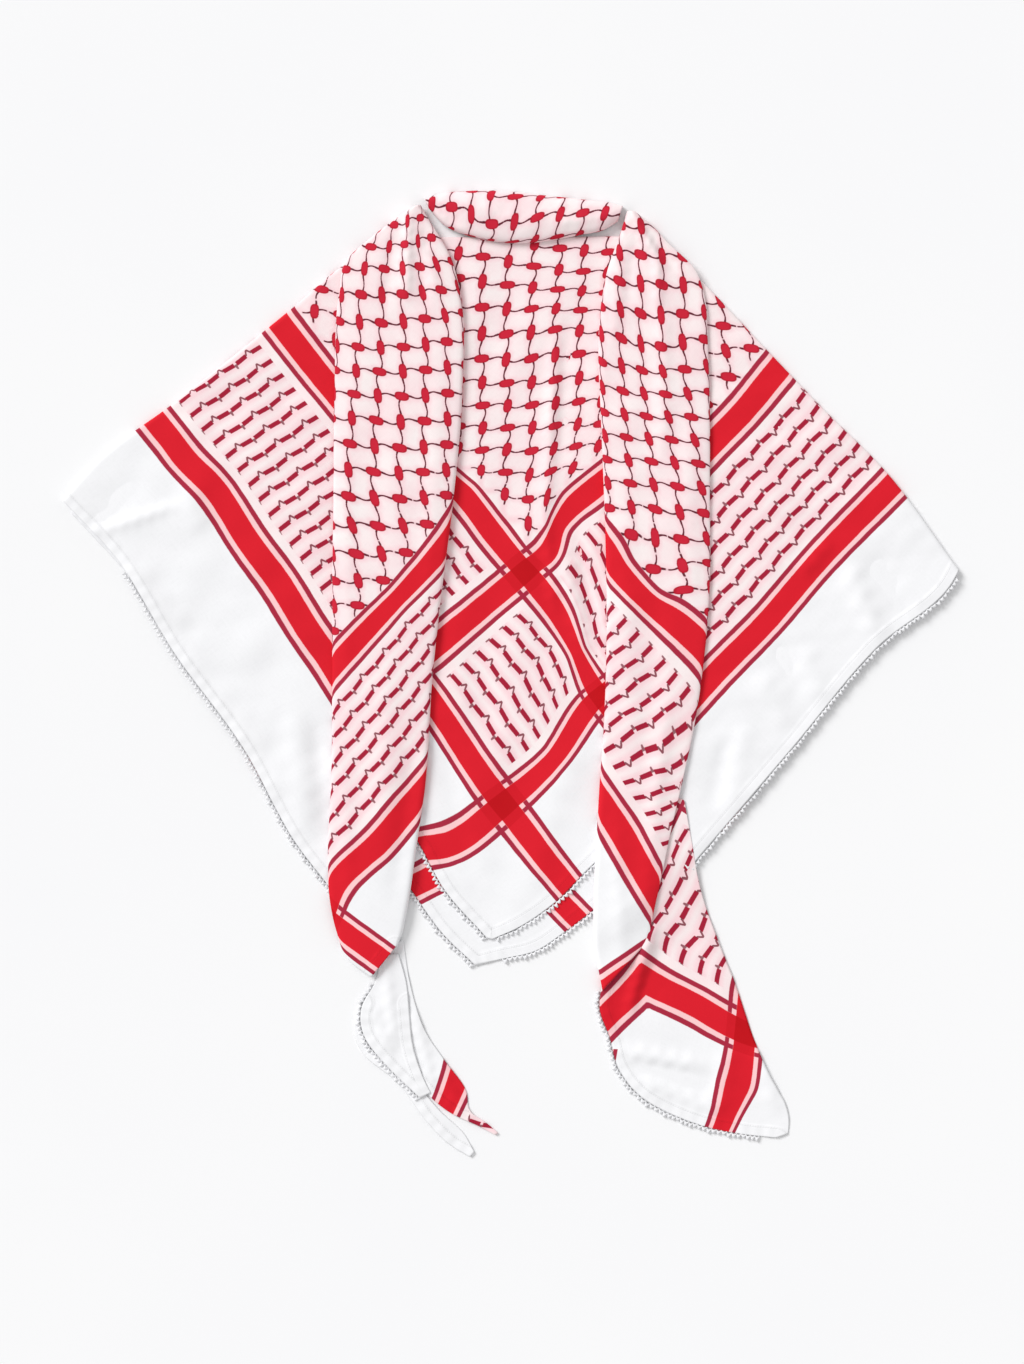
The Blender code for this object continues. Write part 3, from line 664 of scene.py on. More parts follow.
def crease_height(table: Table, x: np.ndarray, y: np.ndarray) -> np.ndarray:
    """Sum of the creases: a bell across each crease's line that fades past its two ends.

    Args:
        table: rows of x0, y0, x1, y1, half width, height.
        x: places.
        y: places.

    Returns:
        Heights in metres.
    """
    total = np.zeros_like(x)
    for x0, y0, x1, y1, width, height in table:
        dx, dy = x1 - x0, y1 - y0
        length = math.hypot(dx, dy)
        along = ((x - x0) * dx + (y - y0) * dy) / length
        bow = 0.12 * width * np.sin(3.0 * along / width)
        across = ((x - x0) * dy - (y - y0) * dx) / length + bow
        middle = np.abs(2.0 * along / length - 1.0)
        fade = 1.0 - smooth_step((middle - 0.55) / 0.75)
        total = total + height * fade * np.exp(-((across / width) ** 2))
    return total


def ripple(x: np.ndarray, y: np.ndarray, seed: int, length: float, height: float) -> np.ndarray:
    """Small uneven waves: nine sines of mixed direction and length, summed.

    Args:
        x: places.
        y: places.
        seed: picks the directions.
        length: the usual wave length.
        height: the usual height.

    Returns:
        Heights in metres.
    """
    rng = np.random.default_rng(seed)
    total = np.zeros_like(x)
    for _ in range(9):
        turn, phase = rng.uniform(0.0, 2.0 * math.pi, 2)
        wave = length * rng.uniform(0.6, 1.8)
        along = x * math.cos(turn) + y * math.sin(turn)
        total = total + np.sin(2.0 * math.pi * along / wave + phase)
    return total * height / 3.0


class ClothMap:
    """Cloth coordinates over the surface: a thin-plate surface through known places.

    Each coordinate is a plane plus one r^2 log r bump a place, solved so that it passes
    through every place (eased by a little stiffness).
    """

    STIFFNESS = 2e-5

    def __init__(self, places: Places) -> None:
        """Solve the surface.

        Args:
            places: the known places.
        """
        rows = places.rows()
        self.known = rows[:, :2]
        count = len(rows)
        bumps = self.bump(self.known) + self.STIFFNESS * np.eye(count)
        plane = np.column_stack([np.ones(count), self.known])
        left = np.block([[bumps, plane], [plane.T, np.zeros((3, 3))]])
        right = np.vstack([rows[:, 2:], np.zeros((3, 2))])
        self.weights = np.linalg.solve(left, right)

    def bump(self, points: np.ndarray) -> np.ndarray:
        """r^2 log r from each point to each known place.

        Args:
            points: rows of x, y.

        Returns:
            An array of points by places.
        """
        square = ((points[:, None, :] - self.known[None]) ** 2).sum(2)
        return square * np.log(np.maximum(square, 1e-12)) / 2.0

    def at(self, points: np.ndarray) -> np.ndarray:
        """Cloth coordinates of points.

        Args:
            points: an array whose last axis is x, y.

        Returns:
            An array of the same shape, of a, b.
        """
        flat = points.reshape(-1, 2)
        plane = np.column_stack([np.ones(len(flat)), flat])
        count = len(self.known)
        found = self.bump(flat) @ self.weights[:count] + plane @ self.weights[count:]
        return found.reshape(points.shape)


def grid_object(
    name: str,
    points: np.ndarray,
    cloth: np.ndarray,
    hem: np.ndarray,
    shell: float = CLOTH.shell,
) -> bpy.types.Object:
    """Make a cloth shell from a grid, its thickness below the grid.

    Args:
        name: the piece's name.
        points: rows by columns by x, y, z.
        cloth: rows by columns by a, b, kept as the UV map "cloth".
        hem: rows by columns by along, inward, kept as the UV map "hem".
        shell: thickness.

    Returns:
        The new object.
    """
    rows, cols = points.shape[:2]
    index = np.arange(rows * cols).reshape(rows, cols)
    quads = np.stack([index[:-1, :-1], index[:-1, 1:], index[1:, 1:], index[1:, :-1]], -1).reshape(-1, 4)
    flat = points.reshape(-1, 3)
    first = flat[quads[:, 2]] - flat[quads[:, 0]]
    second = flat[quads[:, 3]] - flat[quads[:, 1]]
    if np.cross(first, second)[:, 2].sum() < 0.0:
        quads = quads[:, ::-1]
    mesh = bpy.data.meshes.new(name)
    mesh.vertices.add(len(flat))
    mesh.vertices.foreach_set("co", flat.astype(np.float32).ravel())
    mesh.loops.add(quads.size)
    mesh.loops.foreach_set("vertex_index", quads.astype(np.int32).ravel())
    mesh.polygons.add(len(quads))
    mesh.polygons.foreach_set("loop_start", np.arange(0, quads.size, 4, dtype=np.int32))
    for title, values in (("cloth", cloth), ("hem", hem)):
        layer = mesh.uv_layers.new(name=title)
        layer.uv.foreach_set("vector", values.reshape(-1, 2)[quads.ravel()].astype(np.float32).ravel())
    mesh.update(calc_edges=True)
    mesh.validate()
    mesh.shade_smooth()
    piece = bpy.data.objects.new(name, mesh)
    bpy.context.scene.collection.objects.link(piece)
    if shell > 0.0:
        wall = piece.modifiers.new("cloth shell", "SOLIDIFY")
        wall.thickness = shell
        wall.offset = -1.0
        wall.use_even_offset = False
    return piece


def no_hem(points: np.ndarray) -> np.ndarray:
    """Hem coordinates for a piece with no hem: far from any.

    Args:
        points: the piece's grid.

    Returns:
        Rows by columns by along, inward.
    """
    return np.ones(points.shape[:2] + (2,))


def hem_coordinates(points: np.ndarray, rail: np.ndarray) -> np.ndarray:
    """Distance along a hem and inward from it, by the nearest part of the hem's own line.

    Args:
        points: rows by columns by x, y, z.
        rail: the hem's points.

    Returns:
        Rows by columns by along, inward.
    """
    line = rail[:, :2]
    run = np.diff(line, axis=0)
    length = np.maximum(np.linalg.norm(run, axis=1), 1e-9)
    start = np.concatenate([[0.0], np.cumsum(length)[:-1]])
    flat = points[..., :2].reshape(-1, 2)
    best = np.full(len(flat), 1.0)
    along = np.zeros(len(flat))
    for k in range(len(run)):
        off = flat - line[k]
        t = np.clip((off @ run[k]) / length[k] ** 2, 0.0, 1.0)
        away = np.hypot(*(off - t[:, None] * run[k]).T)
        near = away < best
        best = np.where(near, away, best)
        along = np.where(near, start[k] + t * length[k], along)
    return np.stack([along, best], -1).reshape(points.shape[:2] + (2,))


def hem_rise(hem: np.ndarray) -> np.ndarray:
    """Height of a turned hem: level inside its width, with a soft step at its inner edge.

    Args:
        hem: rows by columns by along, inward.

    Returns:
        Heights in metres.
    """
    inward, along = hem[..., 1], hem[..., 0]
    pucker = 1.0 + 0.30 * np.sin(along * 520.0) + 0.25 * np.sin(along * 211.0 + 1.0)
    step = 1.0 - smooth_step((inward - CLOTH.hem + 0.001) / 0.002)
    return CLOTH.hem_rise * step * pucker


@dataclass(frozen=True)
class Fold:
    """A turned-under edge: how far the cloth goes on underneath, in how many columns.

    foot gives its height there from x, y and the distance in from the edge.
    """

    reach: float
    columns: int
    foot: Callable[[np.ndarray, np.ndarray, np.ndarray], np.ndarray]


TURN_STEPS = 7


def fold_columns(width: np.ndarray, radius: np.ndarray, fold: Fold) -> tuple[np.ndarray, ...]:
    """Columns of one fold, from its hidden end round to the face.

    The cloth runs in under the edge, then round a half circle: distance in = r (1 - sin t)
    and share of the height = (1 + cos t) / 2, for t from pi down to 0.

    Args:
        width: width of each row, as a column.
        radius: radius of each row, as a column.
        fold: the fold.

    Returns:
        Distance in from the edge, share of the height, and place on the unrolled cloth.
    """
    turn = np.linspace(math.pi, 0.0, TURN_STEPS + 1)[:-1]
    reach = np.minimum(fold.reach, 0.9 * width - radius)
    under = np.linspace(1.0, 0.0, fold.columns + 1)[:-1]
    inward = np.hstack([radius + reach * under, radius * (1.0 - np.sin(turn))])
    share = np.concatenate([np.zeros(len(under)), (1.0 + np.cos(turn)) / 2.0])
    arc = 1.35 * radius
    unrolled = np.hstack([radius - arc * math.pi - reach * under, radius - arc * turn])
    return inward, share, unrolled


def section_grid(
    start: np.ndarray,
    end: np.ndarray,
    middle: np.ndarray,
    top: HeightField,
    fold_start: Union[Fold, None] = None,
    fold_end: Union[Fold, None] = None,
) -> tuple[np.ndarray, np.ndarray]:
    """A grid of cloth between two rails, its edges turned under where folds are given.

    Args:
        start: rail of x, y a row.
        end: the other rail.
        middle: places of the level columns, from 0 to 1.
        top: height of the face.
        fold_start: fold along the first rail.
        fold_end: fold along the other rail.

    Returns:
        The points, and where each lies on the unrolled cloth.
    """
    run = end - start
    width = np.linalg.norm(run, axis=1)[:, None]
    run = run / width
    radius = np.minimum(CLOTH.fold_radius, 0.3 * width)
    low = radius if fold_start else np.zeros_like(width)
    high = width - radius if fold_end else width
    level = low + (high - low) * middle[None, :]
    at, share, unrolled = [level], [np.ones(len(middle))], [level]
    if fold_start:
        inward, part, flat = fold_columns(width, radius, fold_start)
        at.insert(0, inward)
        share.insert(0, part)
        unrolled.insert(0, flat)
    if fold_end:
        inward, part, flat = fold_columns(width, radius, fold_end)
        at.append(width - inward[:, ::-1])
        share.append(part[::-1])
        unrolled.append(width - flat[:, ::-1])
    at, share, unrolled = np.hstack(at), np.concatenate(share), np.hstack(unrolled)
    plan = start[:, None, :] + at[..., None] * run[:, None, :]
    spread = start[:, None, :] + unrolled[..., None] * run[:, None, :]
    x, y = plan[..., 0], plan[..., 1]
    height = top(x, y)
    foot = np.zeros_like(height)
    if fold_start:
        near = at < width / 2
        foot = np.where(near, fold_start.foot(x, y, at), foot)
    if fold_end:
        near = at >= width / 2
        foot = np.where(near, fold_end.foot(x, y, width - at), foot)
    z = foot + (height - foot) * share[None, :]
    return np.concatenate([plan, z[..., None]], -1), spread


def along_rail(count: int, length: float, hem_end: bool) -> np.ndarray:
    """Places along a rail from 0 to 1, closer together in the last hem's width.

    Args:
        count: how many places.
        length: length of the rail.
        hem_end: whether the rail ends in a hem.

    Returns:
        The places.
    """
    if not hem_end:
        return np.linspace(0.0, 1.0, count)
    fine = np.array([0.0130, 0.0110, 0.0100, 0.0092, 0.0084, 0.0060, 0.0035, 0.0012, 0.0]) / length
    return np.concatenate([np.linspace(0.0, 1.0 - fine[0], count)[:-1], 1.0 - fine])


# ---- shader graphs -----------------------------------------------------------------------
Number = Union["Wire", float]


class Wire:
    """A number in a shader graph. Arithmetic on it adds Math nodes."""

    def __init__(self, tree: bpy.types.NodeTree, socket: bpy.types.NodeSocket) -> None:
        """Hold a socket.

        Args:
            tree: the graph.
            socket: the output that gives the number.
        """
        self.tree = tree
        self.socket = socket

    def math(self, kind: str, *others: Number, first: Union[float, None] = None) -> "Wire":
        """Add a Math node.

        Args:
            kind: its operation.
            others: its further numbers.
            first: a constant that comes before this number.

        Returns:
            The result.
        """
        node = self.tree.nodes.new("ShaderNodeMath")
        node.operation = kind
        values = (self, *others) if first is None else (first, self, *others)
        for socket, value in zip(node.inputs, values):
            if isinstance(value, Wire):
                self.tree.links.new(value.socket, socket)
            else:
                socket.default_value = float(value)
        return Wire(self.tree, node.outputs[0])

    def __add__(self, other: Number) -> "Wire":
        """Sum."""
        return self.math("ADD", other)

    __radd__ = __add__

    def __sub__(self, other: Number) -> "Wire":
        """Difference."""
        return self.math("SUBTRACT", other)

    def __rsub__(self, other: float) -> "Wire":
        """Difference from a constant."""
        return self.math("SUBTRACT", first=other)

    def __mul__(self, other: Number) -> "Wire":
        """Product."""
        return self.math("MULTIPLY", other)

    __rmul__ = __mul__

    def __truediv__(self, other: Number) -> "Wire":
        """Quotient."""
        return self.math("DIVIDE", other)

    def least(self, other: Number) -> "Wire":
        """The smaller of two."""
        return self.math("MINIMUM", other)

    def most(self, other: Number) -> "Wire":
        """The larger of two."""
        return self.math("MAXIMUM", other)

    def size(self) -> "Wire":
        """Without its sign."""
        return self.math("ABSOLUTE")

    def nearest(self) -> "Wire":
        """The nearest whole number."""
        return self.math("ROUND")

    def part(self) -> "Wire":
        """The part past the whole number."""
        return self.math("FRACT")

    def sine(self, turns: float = 1.0) -> "Wire":
        """Sine of pi times a multiple of it."""
        return self.math("MULTIPLY", math.pi * turns).math("SINE")

    def cosine(self, turns: float = 1.0) -> "Wire":
        """Cosine of pi times a multiple of it."""
        return self.math("MULTIPLY", math.pi * turns).math("COSINE")

    def above(self, edge: float, soft: float) -> "Wire":
        """1 above an edge and 0 below it, with a soft S between.

        Args:
            edge: where it is one half.
            soft: half the width of the S.

        Returns:
            The share.
        """
        node = self.tree.nodes.new("ShaderNodeMapRange")
        node.interpolation_type = "SMOOTHSTEP"
        self.tree.links.new(self.socket, node.inputs["Value"])
        node.inputs["From Min"].default_value = edge - soft
        node.inputs["From Max"].default_value = edge + soft
        return Wire(self.tree, node.outputs["Result"])

    def below(self, edge: float, soft: float) -> "Wire":
        """1 below an edge and 0 above it.

        Args:
            edge: where it is one half.
            soft: half the width of the S.

        Returns:
            The share.
        """
        return 1.0 - self.above(edge, soft)


def display(colour: Sequence[float]) -> tuple[float, float, float, float]:
    """Linear colour of a display colour.

    Args:
        colour: red, green and blue from 0 to 255.

    Returns:
        Linear red, green, blue and 1.
    """
    share = np.asarray(colour, float) / 255.0
    line = np.where(share <= 0.04045, share / 12.92, ((share + 0.055) / 1.055) ** 2.4)
    return (*[float(v) for v in line], 1.0)


def mix(tree: bpy.types.NodeTree, share: Number, first: object, second: object) -> bpy.types.NodeSocket:
    """Mix two colours.

    Args:
        tree: the graph.
        share: how much of the second.
        first: a socket, or a display colour.
        second: a socket, or a display colour.

    Returns:
        The mixed colour's socket.
    """
    node = tree.nodes.new("ShaderNodeMix")
    node.data_type = "RGBA"
    if isinstance(share, Wire):
        tree.links.new(share.socket, node.inputs["Factor"])
    else:
        node.inputs["Factor"].default_value = share
    for socket, value in ((node.inputs[6], first), (node.inputs[7], second)):
        if isinstance(value, bpy.types.NodeSocket):
            tree.links.new(value, socket)
        else:
            socket.default_value = display(value)
    return node.outputs[2]


def new_group(name: str, takes: dict[str, str], gives: dict[str, str]) -> tuple:
    """Make an empty node group.

    Args:
        name: its name.
        takes: socket type of each input.
        gives: socket type of each output.

    Returns:
        The group, its input node and its output node.
    """
    group = bpy.data.node_groups.new(name, "ShaderNodeTree")
    for title, kind in takes.items():
        group.interface.new_socket(title, in_out="INPUT", socket_type=kind)
    for title, kind in gives.items():
        group.interface.new_socket(title, in_out="OUTPUT", socket_type=kind)
    return group, group.nodes.new("NodeGroupInput"), group.nodes.new("NodeGroupOutput")


def split(tree: bpy.types.NodeTree, socket: bpy.types.NodeSocket) -> tuple[Wire, Wire, Wire]:
    """The three numbers of a vector.

    Args:
        tree: the graph.
        socket: the vector.

    Returns:
        x, y and z.
    """
    node = tree.nodes.new("ShaderNodeSeparateXYZ")
    tree.links.new(socket, node.inputs[0])
    return tuple(Wire(tree, out) for out in node.outputs)


def noise(
    tree: bpy.types.NodeTree, vector: bpy.types.NodeSocket, scale: Sequence[float], detail: float = 2.0
) -> Wire:
    """A noise texture over a stretched vector.

    Args:
        tree: the graph.
        vector: coordinates.
        scale: how often it repeats along each of them, a metre.
        detail: its detail.

    Returns:
        Its value, about 0 to 1.
    """
    mapping = tree.nodes.new("ShaderNodeMapping")
    mapping.inputs["Scale"].default_value = scale
    tree.links.new(vector, mapping.inputs["Vector"])
    node = tree.nodes.new("ShaderNodeTexNoise")
    node.inputs["Scale"].default_value = 1.0
    node.inputs["Detail"].default_value = detail
    tree.links.new(mapping.outputs[0], node.inputs["Vector"])
    return Wire(tree, node.outputs[0])


class ScarfPattern:
    """The woven pattern as one node group on the cloth's coordinates."""

    def __init__(self, sizes: PatternSizes, finish: CottonFinish) -> None:
        """Make the group.

        Args:
            sizes: sizes of the pattern, in millimetres.
            finish: its colours.
        """
        self.sizes = sizes
        self.finish = finish
        vector, colour, number = "NodeSocketVector", "NodeSocketColor", "NodeSocketFloat"
        self.tree, self.inputs, self.outputs = new_group(
            "Scarf Pattern",
            {"Cloth": vector, "Net Start": vector, "Dash Start": number},
            {"Colour": colour, "Ink": number},
        )
        self.build()

    def build(self) -> None:
        """Lay ground, dashes, net and bands over each other, in that order."""
        tree, sizes, finish = self.tree, self.sizes, self.finish
        cloth = self.inputs.outputs["Cloth"]
        across, down, _ = split(tree, cloth)
        wobble = (noise(tree, cloth, (900.0, 900.0, 1.0)) - 0.5) * sizes.wobble
        drift = (noise(tree, cloth, (70.0, 70.0, 1.0)) - 0.5) * sizes.drift
        a = across * 1000.0 + wobble + drift
        b = down * 1000.0 + wobble - drift
        edge_a = a.least(sizes.side - a)
        edge_b = b.least(sizes.side - b)
        red_a, line_a, any_a, off_a = self.band(edge_a)
        red_b, line_b, any_b, off_b = self.band(edge_b)
        edge = edge_a.least(edge_b)
        clear = off_a.above(sizes.row_end, 0.3) * off_b.above(sizes.row_side, 0.4)
        border = edge.below(sizes.outer_band, 1.0)
        dash_zone = edge.above(sizes.outer_band, 1.0) * edge.below(sizes.inner_band, 1.0) * clear
        dash, tick, dash_halo = self.dashes(a, b)
        knot, rim, line, net_halo = self.net(a, b)
        halo = (dash_halo * dash_zone).most(net_halo * edge.above(sizes.inner_band, 4.0))
        patch = noise(tree, cloth, (24.0, 24.0, 1.0), 3.0).above(0.5, 0.3)
        ground = mix(tree, patch * 0.5, finish.ground, finish.halo)
        colour = mix(tree, border, ground, finish.border)
        colour = mix(tree, halo * (1.0 - border), colour, finish.halo)
        colour = mix(tree, line, colour, finish.line)
        colour = mix(tree, knot, colour, finish.knot)
        colour = mix(tree, rim, colour, finish.knot_rim)
        colour = mix(tree, dash * dash_zone, colour, finish.dash)
        colour = mix(tree, tick * dash_zone, colour, finish.tick)
        any_band = any_a.most(any_b)
        colour = mix(tree, any_band, colour, finish.stripe)
        thin = (line_a * (1.0 - red_b)).most(line_b * (1.0 - red_a))
        colour = mix(tree, thin, colour, finish.thin)
        colour = mix(tree, red_a.most(red_b), colour, finish.band)
        both = any_a * any_b * red_a.most(red_b)
        colour = mix(tree, both * (0.35 + 0.65 * (red_a * red_b)), colour, finish.crossing)
        light = any_a * any_b * (1.0 - red_a) * (1.0 - red_b) * (1.0 - line_a) * (1.0 - line_b)
        colour = mix(tree, light * 0.9, colour, finish.stripe)
        tree.links.new(colour, self.outputs.inputs["Colour"])
        ink = red_a.most(red_b).most(knot).most(dash * dash_zone).most(thin)
        tree.links.new(ink.socket, self.outputs.inputs["Ink"])

    def band(self, edge: Wire) -> tuple[Wire, Wire, Wire, Wire]:
        """One direction's two bands.

        Args:
            edge: distance from the nearer side of the cloth.

        Returns:
            The solid stripe, the thin stripes, the whole band and the distance from its middle.
        """
        sizes = self.sizes
        off = (edge - sizes.outer_band).size().least((edge - sizes.inner_band).size())
        solid = off.below(sizes.solid, 0.35)
        whole = off.below(sizes.stripe_to, 0.35)
        return solid, off.above(sizes.stripe_from, 0.35) * whole, whole, off

    def net(self, a: Wire, b: Wire) -> tuple[Wire, Wire, Wire, Wire]:
        """The net: knots on a square lattice along the diagonals, joined by swaying lines.

        A knot is a leaning oval |short|^power + |long|^power = 1, long along p or q in turn. A
        line leaves its lattice line by a bow, bow sin(pi t), to each side in turn, and a wave,
        wave sin(2 pi t), where t runs from 0 to 1 between two knots.

        Args:
            a: cloth coordinate in millimetres.
            b: cloth coordinate in millimetres.

        Returns:
            Knots, their rims, lines, and the tint round them.
        """
        sizes, pitch = self.sizes, self.sizes.knot_pitch
        start_p, start_q, _ = split(self.tree, self.inputs.outputs["Net Start"])
        root = math.sqrt(0.5)
        p, q = (a + b) * root, (b - a) * root
        u, w = (p - start_p) / pitch, (start_q - q) / pitch
        row, column = u.nearest(), w.nearest()
        off_u, off_w = (u - row) * pitch, (w - column) * pitch
        even_row, even_column = row.cosine(), column.cosine()
        kind = even_row * even_column
        share = kind * 0.5 + 0.5
        long = off_w + (off_u - off_w) * share
        short = (off_u + (off_w - off_u) * share + long * sizes.knot_lean).size()
        bulge = (short / sizes.knot_short).math("POWER", sizes.knot_power)
        bulge = bulge + (long.size() / sizes.knot_long).math("POWER", sizes.knot_power)
        oval = bulge.math("POWER", 1.0 / sizes.knot_power)
        centre_p, centre_q = p - off_u, q + off_w
        centre_a, centre_b = (centre_p - centre_q) * root, (centre_p + centre_q) * root
        away = centre_a.least(sizes.side - centre_a).least(centre_b).least(sizes.side - centre_b)
        last_knot = sizes.inner_band + sizes.stripe_to + sizes.knot_long
        inside = away.above(last_knot - 1.0, 0.05)
        knot = oval.below(1.0, 0.08) * inside
        rim = knot * oval.above(sizes.knot_rim, 0.16) * 0.7
        sway_row = even_row * w.sine() * sizes.sway_bow + w.sine(2.0) * sizes.sway_wave
        sway_column = u.sine(2.0) * sizes.sway_wave - even_column * u.sine() * sizes.sway_bow
        bow, wave = sizes.sway_bow * math.pi / pitch, sizes.sway_wave * 2.0 * math.pi / pitch
        slope_row = even_row * w.cosine() * bow + w.cosine(2.0) * wave
        slope_column = u.cosine(2.0) * wave - even_column * u.cosine() * bow
        line_row = (off_u - sway_row).size() / (slope_row * slope_row + 1.0).math("SQRT")
        line_column = (off_w - sway_column).size() / (slope_column * slope_column + 1.0).math("SQRT")
        near = line_row.least(line_column)
        thick = near - oval.below(1.5, 0.5) * 0.3
        end = off_u.size().most(off_w.size()).below(sizes.stub_end, 0.9)
        whole = away.above(last_knot + sizes.knot_pitch, 0.5)
        line = thick.below(sizes.line, 0.25) * inside * whole.most(end)
        halo = near.below(3.0, 2.8).most(oval.below(1.5, 0.5) * inside)
        return knot, rim, line, halo * 0.75

    def dashes(self, a: Wire, b: Wire) -> tuple[Wire, Wire, Wire]:
        """Rows of dashes along a: a zigzag middle line, two dashes a period, ticks at its turns.

        Args:
            a: cloth coordinate in millimetres.
            b: cloth coordinate in millimetres.

        Returns:
            Dashes, ticks, and the tint round them.
        """
        sizes = self.sizes
        start = Wire(self.tree, self.inputs.outputs["Dash Start"])
        place = ((start - a) / sizes.dash_period).part()
        row = (b - (sizes.outer_band + sizes.inner_band) / 2.0) / sizes.row_pitch - 0.5
        off = (row - row.nearest()) * sizes.row_pitch
        from_spike = (place - 0.5).size()
        middle = (1.0 - from_spike * 4.0) * sizes.zigzag
        from_turn = from_spike * sizes.dash_period
        length = from_turn.above(sizes.dash_from, 0.3) * from_turn.below(sizes.dash_to, 0.3)
        dash = length * (off - middle).size().below(sizes.dash_thick, 0.3)
        spike_width = sizes.spike_wide - off * sizes.spike_taper
        spike_length = off.above(0.6, 0.3) * off.below(sizes.spike_end, 0.3)
        spike = (spike_width - from_turn).above(0.0, 0.3) * spike_length
        tick_at = (0.5 - from_spike) * sizes.dash_period
        depth = (0.6 - sizes.zigzag - off) / sizes.tick_deep
        arm = (tick_at - (1.0 - depth) * sizes.tick_half).size().below(sizes.tick_thick, 0.25)
        tick = arm * depth.above(0.0, 0.04) * depth.below(1.05, 0.06)
        halo = (off - middle).size().below(5.2, 2.8)
        return dash, (spike * 0.85).most(tick * 0.9), halo * 0.8


class Weave:
    """Plain weave of fine threads with slubs, as one node group."""

    def __init__(self) -> None:
        """Make the group: threads along a and b, and long thin noise for the slubs."""
        vector, number = "NodeSocketVector", "NodeSocketFloat"
        self.tree, takes, gives = new_group(
            "Cotton Weave", {"Cloth": vector}, {"Height": number, "Tone": number}
        )
        cloth = takes.outputs["Cloth"]
        a, b, _ = split(self.tree, cloth)
        threads = (a * 1450.0).sine() * (b * 1450.0).sine()
        slub = noise(self.tree, cloth, (60.0, 1500.0, 1.0), 1.0)
        slub = slub + noise(self.tree, cloth, (1500.0, 60.0, 1.0), 1.0)
        broad = noise(self.tree, cloth, (240.0, 240.0, 1.0), 4.0)
        height = threads * 0.35 + slub * 0.6 + broad * 0.9
        tone = 1.0 - (slub - 0.7).size() * 0.05 - (broad - 0.5).size() * 0.10
        self.tree.links.new(height.socket, gives.inputs["Height"])
        self.tree.links.new(tone.socket, gives.inputs["Tone"])


class HemStitch:
    """The hem's stitched line, as one node group on distance along and in from the hem."""

    def __init__(self) -> None:
        """Make the group: a row of short stitches in a shallow groove, with painted shade in the groove and
        along the hem's outer edge, and a painted highlight on the raised stitches.
        """
        vector, number = "NodeSocketVector", "NodeSocketFloat"
        self.tree, takes, gives = new_group("Hem Stitch", {"Hem": vector}, {"Height": number, "Tone": number})
        along, inward, _ = split(self.tree, takes.outputs["Hem"])
        along, inward = along * 1000.0, inward * 1000.0
        groove = (inward - (CLOTH.hem * 1000.0 - 1.2)).size().below(0.9, 0.5)
        thread = (inward - (CLOTH.hem * 1000.0 - 1.2)).size().below(0.4, 0.2)
        stitch = ((along / 2.4).part() - 0.5).size().below(0.34, 0.06) * thread
        # rim: the outermost millimetre of the hem, which the tone below darkens as painted shade
        rim = inward.size().below(0.9, 0.5)
        height = stitch * 0.9 - groove * 0.6
        # Tone: painted shade in the groove and along the hem's outer edge, and a painted highlight on the
        # raised stitches
        tone = 1.0 - groove * 0.055 + stitch * 0.05 - rim * 0.05
        self.tree.links.new(height.socket, gives.inputs["Height"])
        self.tree.links.new(tone.socket, gives.inputs["Tone"])


